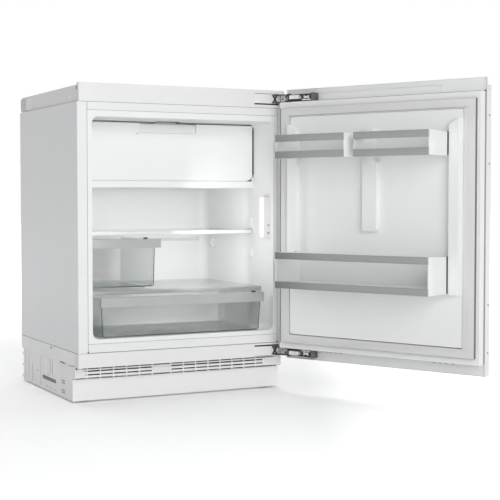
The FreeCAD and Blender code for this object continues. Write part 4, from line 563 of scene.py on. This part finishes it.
def door_seams():
    # Painted shade: a grey strip deep in the side groove, a dark block at its top end, dark and grey lines
    # along the liner's top and lower edges, and dark discs in the rail's holes.
    groove_shade_strip = rounded_block("side_groove_shade", (-298.2, -42.8, 124), (-295.5, -34.7, 783), 0.5)
    stop = rounded_block("groove_stop", (-298.5, -41, 784.6), (-295.5, -36.5, 788.6), 1.0, 3)
    plug = start_block("rail_end_plug", (-299.2, -65.4, 789.6), (-296.9, -48.2, 800.9))
    sink_face(plug, 0, 2.2, 0.5)
    round_edges(plug, 0.5, 2)
    upper_shade_line = rounded_block("liner_top_edge_shade", (-297.5, -14.5, 783.2), (198, -12.6, 784.9), 0.4)
    lower_shade_line = rounded_block("liner_lower_edge_shade", (-297.5, -14.5, 122.1), (198, -12.6, 123.7), 0.4)
    clip_places = (159, 144, 131, 117, 102, -176, -192, -209, -228)
    clips = joined_blocks("liner_lower_clips", [((x - 4.5, -15.2, 121.4), (x + 4.5, -12.4, 124.0))
                                                for x in clip_places], 0.5)
    hole_places = [(-299.0, -57, z) for z in (150.5, 268.2, 611.2, 728)]
    holes = joined_rods("side_rail_hole_shades", hole_places, 2.5, 0.8, "X", 20, 0.2)
    for piece, material in ((groove_shade_strip, groove_shade_grey), (stop, seam_shade), (upper_shade_line, seam_shade),
                            (lower_shade_line, groove_shade_grey), (clips, seam_shade), (holes, bellows_grey_and_shade),
                            (plug, button_grey)):
        swing_open(piece)
        put_on(piece, "door", material)


def cabinet_side_seams(side, name):
    """Painted shade in the joints along the base, the lid and the front frame and in the lid's notch; the
    plug and the wedge at the lid's rear on one side.
    """
    for seam, low, high, width, material in (
            ("base_seam", (296.2, 2.5, 131.2), (299.15, 498.5, 132.5), 0.3, seam_shade),
            ("lid_seam", (293.4, 14.5, 771.6), (295.1, 449, 773.6), 0.3, groove_shade_grey),
            ("frame_seam", (271.9, -0.08, 137), (273.2, 2.5, 771.4), 0.2, groove_shade_grey)):
        strip = rounded_block(f"{seam}_{name}", *on_side(side, low, high), width)
        put_on(strip, "cabinet", material)
    dot = rounded_rod(f"frame_plug_{name}", (side * 272.6, 0.6, 134.4), 2.2, 2.4, "Y", 16, 0.5)
    put_on(dot, "cabinet", seam_shade)
    # Painted shade: a dark block where the lid's notch lies in shade.
    notch = on_side(side, (290.5, 12.6, 801.4), (294.9, 19.8, 813.2))
    shade = rounded_block(f"lid_notch_shade_{name}", *notch, 0.6)
    put_on(shade, "cabinet", bellows_grey_and_shade)
    pad = start_block(f"lid_pad_{name}", *on_side(side, (294.2, 405, 776.6), (297.2, 448.6, 809.4)))
    pick_points(pad, lambda place: place.y < 410 and abs(place.x) > 296)
    push(x=-side * 2.2)
    leave_edit()
    round_edges(pad, 0.6, 2)
    put_on(pad, "cabinet", white_enamel)


def cabinet_front_seams():
    # Painted shade: grey strips in the joints across the front.
    for name, low, high in (("fascia_seam", (-294.4, -0.12, 771.2), (294.4, 3, 772.5)),
                            ("upper_rail_seam", (-272, -0.1, 750.5), (272, 2, 751.6)),
                            ("lower_rail_seam", (-272, -0.1, 154.8), (272, 2, 155.9)),
                            ("base_rail_seam", (-298, -0.1, 131.5), (298, 2, 132.6))):
        put_on(rounded_block(name, low, high, 0.2), "cabinet", groove_shade_grey)


door_seams()
for side, name in both_sides:
    cabinet_side_seams(side, name)
cabinet_front_seams()


# Freezer flap: its sloping finger pocket, its latch and the painted shade lines round its edge

def flap_face():
    """The finger pocket with its mark and the grey line of painted shade in the groove under it, the lower
    lip, the latch's teeth and its end.
    """
    scoop = start_block("flap_scoop", (-82.3, 117.0, 702.7), (82.3, 130.8, 727.5))
    pick_points(scoop, lambda place: place.y < 120 and place.z > 720)
    push(y=5)
    leave_edit()
    round_edges(scoop, 1.2, 3)
    put_on(scoop, "flap", liner_white)
    # Painted shade: a grey line where the groove under the pocket lies in shade.
    line = rounded_block("flap_pocket_line", (-92, 115.88, 701.6), (82.5, 116.6, 702.3), 0.2)
    put_on(line, "flap", seal_rubber)
    lip = rounded_block("flap_lip", (-238, 117.3, 575.0), (238, 119.4, 578.5), 0.5)
    put_on(lip, "flap", liner_white)
    tooth_count, tooth_step, tooth_width, first_tooth = 7, 8, 5, -30
    tooth_places = [first_tooth + i * tooth_step for i in range(tooth_count)]
    teeth = joined_blocks("flap_latch_strip", [((x, 116.4, 730.0), (x + tooth_width, 120, 733.2))
                                               for x in tooth_places], 0.5)
    put_on(teeth, "flap", button_grey)
    latch = rounded_block("flap_latch_end", (24, 115.9, 729.6), (31.5, 120, 732.8), 0.6)
    put_on(latch, "flap", black_moulding)
    mark = rounded_block("flap_pocket_mark", (-92.5, 115.7, 699.2), (-87.5, 117, 701.4), 0.5)
    put_on(mark, "flap", bellows_grey_and_shade)


def flap_corner_line(side, name):
    """Painted shade: the dark line round a lower corner, cut from a ring; it moves with the flap."""
    corner_x, corner_y, corner_z = 240, 117.6, 591.5
    cut_x, cut_high, cut_low = 242, 593.5, 578.5
    bpy.ops.object.select_all(action="DESELECT")
    bpy.ops.mesh.primitive_torus_add(major_radius=16.2 * mm, minor_radius=0.8 * mm, major_segments=48,
                                     minor_segments=8, rotation=(math.pi / 2, 0, 0),
                                     location=(side * corner_x * mm, corner_y * mm, corner_z * mm))
    corner = bpy.context.object
    apply_place()
    bpy.ops.object.mode_set(mode="EDIT")
    for place, normal, keep_outer in (((side * cut_x * mm, 0, 0), (side, 0, 0), True),
                                      ((0, 0, cut_high * mm), (0, 0, 1), False),
                                      ((0, 0, cut_low * mm), (0, 0, 1), True)):
        bpy.ops.mesh.select_all(action="SELECT")
        bpy.ops.mesh.bisect(plane_co=place, plane_no=normal, use_fill=True, clear_inner=keep_outer,
                            clear_outer=not keep_outer)
    leave_edit()
    bpy.ops.object.shade_smooth_by_angle(angle=smooth_below)
    corner.name = f"flap_corner_line_{name}"
    return corner


def flap_edge(side, name):
    """A white stop over the flap's top edge with a dark line of painted shade, and dark strips of painted
    shade in the gap beside and below it.
    """
    stop_corners = on_side(side, (35, 117.4, 732.2), (254, 123, 735.2))
    line_corners = on_side(side, (35, 116.9, 730.9), (254, 118.4, 732.9))
    gap_corners = on_side(side, (258.9, 116.5, 593), (260.1, 129, 731))
    stop = rounded_block(f"flap_top_stop_{name}", *stop_corners, 0.5)
    put_on(stop, "cabinet", liner_white)
    line = rounded_block(f"flap_top_line_{name}", *line_corners, 0.3)
    put_on(line, "cabinet", bellows_grey_and_shade)
    strip = rounded_block(f"flap_gap_{name}", *gap_corners, 0.3)
    corner = flap_corner_line(side, name)
    put_on(strip, "cabinet", bellows_grey_and_shade)
    put_on(corner, "flap", bellows_grey_and_shade)


flap_face()
for side, name in both_sides:
    flap_edge(side, name)


# Lamp cover on the control housing and the painted shade on the edges of the clear tubs

def control_cover():
    cover = start_block("control_cover", (238.9, 18.6, 420), (240.4, 41, 530))
    sink_face(cover, 0, 1.5, -0.4)
    round_edges(cover, 0.4, 2)
    put_on(cover, "cabinet", lamp_cover)
    dot_places = [(238.4, y, z) for y, z in ((29, 512), (24, 470), (33, 446), (33, 432))]
    dots = joined_rods("control_cover_marks", dot_places, 1.6, 0.9, "X", 16, 0.2)
    put_on(dots, "cabinet", seal_rubber)


def tub_edges(tub, left, right, front, bottom, top, taper, height):
    """Painted shade: darker lines where a tub's walls are looked along, its lower front edge and its upright
    corners.
    """
    edge = rounded_block("edge", (left + taper + 7, front + taper + 0.1, bottom + 0.2),
                         (right - taper - 7, front + taper + 1.5, bottom + 2.8), 0.4)
    bars = [edge]
    lean = taper * (top - bottom) / height
    for x, out in ((left, -1), (right, 1)):
        middle = x - out * (taper + 2.6)
        post = start_block("edge", (middle - 1.1, front + taper + 2.0, bottom + 2),
                           (middle + 1.1, front + taper + 3.2, top))
        pick_points(post, lambda place: place.z > top - 1)
        push(x=out * lean, y=-lean)
        leave_edit()
        round_edges(post, 0.3, 2)
        bars.append(post)
    put_on(join(f"{tub}_edges", *bars), tub, tub_wall_edge_shade)


control_cover()
tub_edges("drawer", -233, 233, 16, 167.3, 246, taper=5.0, height=101.4)
tub_edges("box", -250, -32.5, 129, 287.8, 393, taper=3.0, height=126.9)


# Hinges, drawn for the upper one and mirrored for the lower one

def hinge_cover():
    """The white plate beside the mouth, the dark case behind both and the mouth's white back."""
    plate = start_block("hinge_cover", (202.4, -0.2, 784.0), (255.4, 2, 809.6))
    sink_face(plate, 1, 1.4, -0.5)
    round_edges(plate, 0.5, 2)
    case = start_block("hinge_case", (202.9, 2.3, 780.4), (277.1, 42, 810.6))
    pick_faces(case, lambda centre, normal: normal.y < -facing)
    bpy.ops.mesh.inset(thickness=1.5 * mm)
    extrude(y=37.5)
    leave_edit()
    round_edges(case, 0.4, 2)
    mouth = start_block("hinge_mouth", (256.2, 0.6, 784.4), (276.6, 2.2, 809.2))
    sink_face(mouth, 1, 1.2, 0.4)
    round_edges(mouth, 0.3, 2)
    return plate, case, mouth


def crossed_bars(low, high, degrees, centre):
    """Two rounded bars that cross about a centre, each turned by the angle."""
    bars = []
    for side in (1, -1):
        bar = start_block("bar", low, high)
        turn_piece(bar, side * degrees, "Y", centre)
        round_edges(bar, 0.6, 2)
        bars.append(bar)
    return bars


def hinge_links():
    """The crossed links in the bracket's mouth, with the dark edge below them."""
    bars = crossed_bars((263.0, -1.4, 785.2), (267.4, 1.0, 807.6), 31, (265.2, 0, 796.4))
    ledge = rounded_block("ledge", (253, -1.2, 781.0), (277, 1.0, 783.6), 0.5)
    return join("hinge_links", *bars, ledge)


def hinge_web():
    """The slanting plate that joins the bracket's leaves, with its screw, rivets and dark rim."""
    slant, slant_centre = -46, (289, -13, 0)
    web = rounded_block("hinge_web", (288, -25, 787.0), (290, -1, 806.0), 0.6)
    screw = start_rod("hinge_web_screw", (287.8, -6.4, 796.2), 1.9, 1.2, "X", 20)
    sink_face(screw, 0, 0.7, 0.6)
    round_edges(screw, 0.2, 2)
    rivet_places = [(287.6, -17, z) for z in (790.6, 802.4)]
    rivets = joined_rods("hinge_web_rivets", rivet_places, 2.7, 1.8, "X", 20, 0.5, 3)
    rim = rounded_block("hinge_web_rim", (290.1, -26, 785.4), (291.4, 1, 807.2), 0.4)
    for piece in (web, screw, rivets, rim):
        turn_piece(piece, slant, "Z", slant_centre)
    return web, screw, rivets, rim


def hinge_damper():
    """The closing damper in the arm's channel, with a hollow along its body."""
    body = start_block("hinge_damper", (247.2, -45.3, 792.6), (277, -23.6, 802.9))
    hollow_left, hollow_right = 252, 272
    slice_at(body, 0, (hollow_left, hollow_right))
    pick_faces(body, lambda centre, normal: normal.y > facing and hollow_left < centre.x < hollow_right)
    bpy.ops.mesh.inset(thickness=1.6 * mm)
    extrude(y=-1.2)
    leave_edit()
    round_edges(body, 0.7, 3)
    return body


def hinge_cross():
    """The bright spring cross beside the damper."""
    bars = crossed_bars((214.5, -33, 794.9), (233.0, -27, 798.4), 21, (223.75, -30, 796.7))
    hub = rounded_rod("hub", (223.7, -26.9, 796.7), 2.6, 1.6, "Y", 20, 0.4)
    return join("hinge_cross", *bars, hub)


def hinge_lip():
    """The pale edge strip along the arm's lower flange."""
    return rounded_block("hinge_lip", (207.5, -27.4, 787.9), (236.5, -25.4, 790.9), 0.5)


def hinge_end_cap():
    """The dark cap over the arm's far end, with upright ribs."""
    cap = start_block("hinge_end_cap", (197.6, -46.8, 785.6), (206.4, -24.4, 807.4))
    grooves = ((-44, -41.8), (-38.6, -36.4), (-33.2, -31))
    groove_bottom, groove_top = 788.6, 804.4
    slice_at(cap, 1, (*grooves[0], *grooves[1], *grooves[2], -27.8))
    slice_at(cap, 2, (groove_bottom, groove_top))
    pick_faces(cap, lambda centre, normal: normal.x < -facing and groove_bottom < centre.z < groove_top
               and any(a < centre.y < b for a, b in grooves))
    extrude(x=2.2)
    leave_edit()
    round_edges(cap, 0.4, 2)
    return cap


def hinges():
    plate, case, mouth = hinge_cover()
    web, screw, rivets, rim = hinge_web()
    # Painted light: the web is a zinc plate coloured with the lighter hinge white, so that it shows brighter
    # than its light makes it.
    fixed = ((plate, hinge_white, "white_plastic", ("hinge_housings",)),
             (case, hinge_black, "black_steel", ("hinge_housings",)),
             (mouth, hinge_white, "white_plastic", ("hinge_housings",)),
             (hinge_links(), hinge_black, "black_steel", ()),
             (web, hinge_white, "zinc_steel", ()),
             (rim, hinge_black, "black_steel", ()),
             (screw, hinge_black, "black_steel", ()),
             (rivets, hinge_black, "black_steel", ()))
    moving = ((hinge_damper(), hinge_white, "white_plastic", ("hinge_trims",)),
              (hinge_cross(), hinge_white, "white_plastic", ("hinge_trims",)),
              (hinge_lip(), hinge_white, "white_plastic", ()),
              (hinge_end_cap(), cap_grey, "grey_plastic", ("hinge_trims",)))
    for body, pieces in (("cabinet", fixed), ("door", moving)):
        for piece, material, slot, stands_for in pieces:
            twin = lower_copy(piece, f"lower_{piece.name}")
            for each in (piece, twin):
                if body == "door":
                    swing_open(each)
                put_on(each, body, material, stands_for)


hinges()


# Base sides: painted shade behind their openings and in the slot, rear ribs, marks and dashes

# Each mark is (Y, low, high) and each dash (Y, Z, length).

base_face = 297.8
base_side_marks = ((201, 48, 92), (214, 50, 94), (236, 50, 94), (252, 44, 94), (320, 10, 92), (398, 12, 60),
                   (432, 12, 90), (452, 12, 90), (468, 12, 90))
base_side_dashes = ((112, 15.5, 27), (112, 21.5, 27), (112, 41, 27), (112, 47, 27), (60, 93.4, 22),
                    (118, 93.4, 34), (172, 97, 8), (204, 97, 6), (236, 97, 8), (278, 97, 6), (352, 97, 8),
                    (60, 12, 5), (350, 46, 6), (196, 12, 6), (228, 13, 6), (262, 14, 6))


def base_openings(side, name):
    """Painted shade: a dark wall behind a base side's openings and a stepped shade strip in its slot."""
    opening_shade = start_block(f"base_opening_shade_{name}", *on_side(side, (283, 62, 8), (286, 482, 128)))
    slice_at(opening_shade, 1, (160, 340))
    round_edges(opening_shade, 0.5, 2)
    put_on(opening_shade, "cabinet", groove_shade_grey)
    shade = start_block(f"base_slot_shade_{name}", *on_side(side, (294.9, 188.3, 31.3), (296.6, 307.7, 41.2)))
    step_z = 38.8
    slice_at(shade, 2, (step_z,))
    pick_faces(shade, lambda centre, normal: normal.x * side > facing and centre.z < step_z)
    extrude(x=-side * 0.9)
    leave_edit()
    round_edges(shade, 0.3, 2)
    put_on(shade, "cabinet", groove_shade_grey)


def base_surface(side, name):
    """Seven rear ribs, every second one shorter, upright marks and dark dashes lying along the side."""
    rib_height, rib_step, first_rib, rib_back, shorter = 9, 16, 10, 497, 8
    rib_corners = []
    for i in range(7):
        low = first_rib + i * rib_step
        back = rib_back - (i % 2) * shorter
        rib_corners.append(on_side(side, (287, 484, low), (base_face, back, low + rib_height)))
    ribs = joined_blocks(f"base_rear_ribs_{name}", rib_corners, 1.2, 3)
    put_on(ribs, "cabinet", white_moulding)
    mark_face, mark_width = base_face + 0.35, 4
    mark_corners = [on_side(side, (293, y, low), (mark_face, y + mark_width, high))
                    for y, low, high in base_side_marks]
    marks = joined_blocks(f"base_marks_{name}", mark_corners, 0.3)
    put_on(marks, "cabinet", trim_pale)
    dash_face, dash_height = base_face + 0.5, 2.2
    dash_corners = [on_side(side, (296, y, z), (dash_face, y + length, z + dash_height))
                    for y, z, length in base_side_dashes]
    dashes = joined_blocks(f"base_dashes_{name}", dash_corners, 0.4)
    put_on(dashes, "cabinet", bellows_grey_and_shade)


for side, name in both_sides:
    base_openings(side, name)
    base_surface(side, name)


# Floor, light and camera

def make_floor():
    """A white floor that keeps the object's soft shadow; it glows away from it and to its right."""
    floor_width, floor_drop = 40, 0.0005
    bpy.ops.object.select_all(action="DESELECT")
    bpy.ops.mesh.primitive_plane_add(size=floor_width, location=(0, 0, -floor_drop))
    floor = bpy.context.object
    floor.name = "floor"
    material, tree, shader = start_material("studio_floor", (0.93, 0.93, 0.93), 0.6)
    vector = place_pattern(tree)
    cloud = add_noise(tree, vector, 1.5, 2)
    colour = tint(tree, cloud, (0.92, 0.92, 0.92), (0.935, 0.935, 0.935))
    tree.links.new(colour, shader.inputs["Base Color"])
    shader.inputs["Specular IOR Level"].default_value = 0.1
    reach = tree.nodes.new("ShaderNodeVectorMath")
    reach.operation = "LENGTH"
    tree.links.new(vector, reach.inputs[0])
    far = spread(tree, reach.outputs["Value"], near_glow, 1.0, glow_from, glow_full)
    along_view = place_pattern(tree, turn=(0, 0, math.radians(view_turn_deg)))
    beside = spread(tree, axis_value(tree, along_view, "X"), 0.0, right_glow, right_from, right_full)
    glow = combine(tree, "MULTIPLY", combine(tree, "ADD", far, beside), seen_directly(tree))
    tree.links.new(glow, shader.inputs["Emission Strength"])
    shader.inputs["Emission Color"].default_value = (1, 1, 1, 1)
    floor.data.materials.append(material)


def seen_directly(tree):
    """1 for what the camera, a gloss or a clear piece shows, 0 for light that falls on the object."""
    path = tree.nodes.new("ShaderNodeLightPath")
    last = path.outputs["Is Camera Ray"]
    for name in ("Is Glossy Ray", "Is Transmission Ray"):
        last = combine(tree, "MAXIMUM", last, path.outputs[name])
    return last


def make_world():
    """A white backdrop where it is seen, and a weaker even light on the object."""
    world = bpy.data.worlds.new("studio")
    bpy.context.scene.world = world
    world.use_nodes = True
    tree = world.node_tree
    backdrop = tree.nodes["Background"]
    backdrop.inputs["Color"].default_value = (1, 1, 1, 1)
    backdrop.inputs["Strength"].default_value = 1.0
    fill = tree.nodes.new("ShaderNodeBackground")
    fill.inputs["Color"].default_value = (0.98, 0.99, 1.0, 1)
    fill.inputs["Strength"].default_value = fill_light
    mix = tree.nodes.new("ShaderNodeMixShader")
    tree.links.new(seen_directly(tree), mix.inputs[0])
    tree.links.new(fill.outputs[0], mix.inputs[1])
    tree.links.new(backdrop.outputs[0], mix.inputs[2])
    tree.links.new(mix.outputs[0], tree.nodes["World Output"].inputs["Surface"])


def add_lamp(name, place, aim, width, height, power):
    """A rectangular lamp in metres and watts that only lights; the front one also shows in glosses."""
    light = bpy.data.lights.new(name, "AREA")
    light.shape = "RECTANGLE"
    light.size = width
    light.size_y = height
    light.energy = power
    lamp = bpy.data.objects.new(name, light)
    bpy.context.scene.collection.objects.link(lamp)
    lamp.location = place
    lamp.rotation_euler = (Vector(aim) - Vector(place)).to_track_quat("-Z", "Y").to_euler()
    lamp.visible_camera = False
    lamp.visible_glossy = name == "front_softbox"


def make_camera():
    """The photograph's camera, as fitted to the measured edges."""
    look_down_deg, look_right_deg = 2.473, 26.979
    view = bpy.data.cameras.new("photo_view")
    view.lens = 87.625
    view.sensor_width = 36
    camera = bpy.data.objects.new("photo_view", view)
    bpy.context.scene.collection.objects.link(camera)
    camera.location = (-1.304433, -2.933872, 0.529364)
    camera.rotation_euler = (math.radians(90 - look_down_deg), 0, math.radians(-look_right_deg))
    bpy.context.scene.camera = camera


# Each glow of the floor has a strength and the two distances between which it changes.

fill_light = 0.33
near_glow, glow_from, glow_full = 0.19, 1.2, 5.0
right_glow, right_from, right_full = 0.7, 0.34, 0.8
view_turn_deg = 27
make_floor()
make_world()
add_lamp("front_softbox", (-0.4, -3.3, 1.15), (0.0, 0.1, 0.42), 2.0, 2.0, 56)
add_lamp("cavity_back_light", (-0.005, 0.14, 0.36), (-0.005, 0.5, 0.36), 0.46, 0.34, 0.44)
add_lamp("top_softbox", (0.2, 1.6, 4.5), (0.0, 0.0, 0.0), 4.0, 4.0, 106)
add_lamp("cavity_side_light", (-0.25, 0.2, 0.38), (0.3, 0.2, 0.38), 0.34, 0.3, 0.26)
add_lamp("cavity_edge_light", (0.03, 0.025, 0.42), (0.26, 0.09, 0.37), 0.06, 0.22, 0.25)
add_lamp("flap_light", (0.16, 0.02, 0.62), (0.17, 0.2, 0.61), 0.14, 0.08, 0.006)
make_camera()
bpy.context.scene.view_settings.view_transform = "Standard"
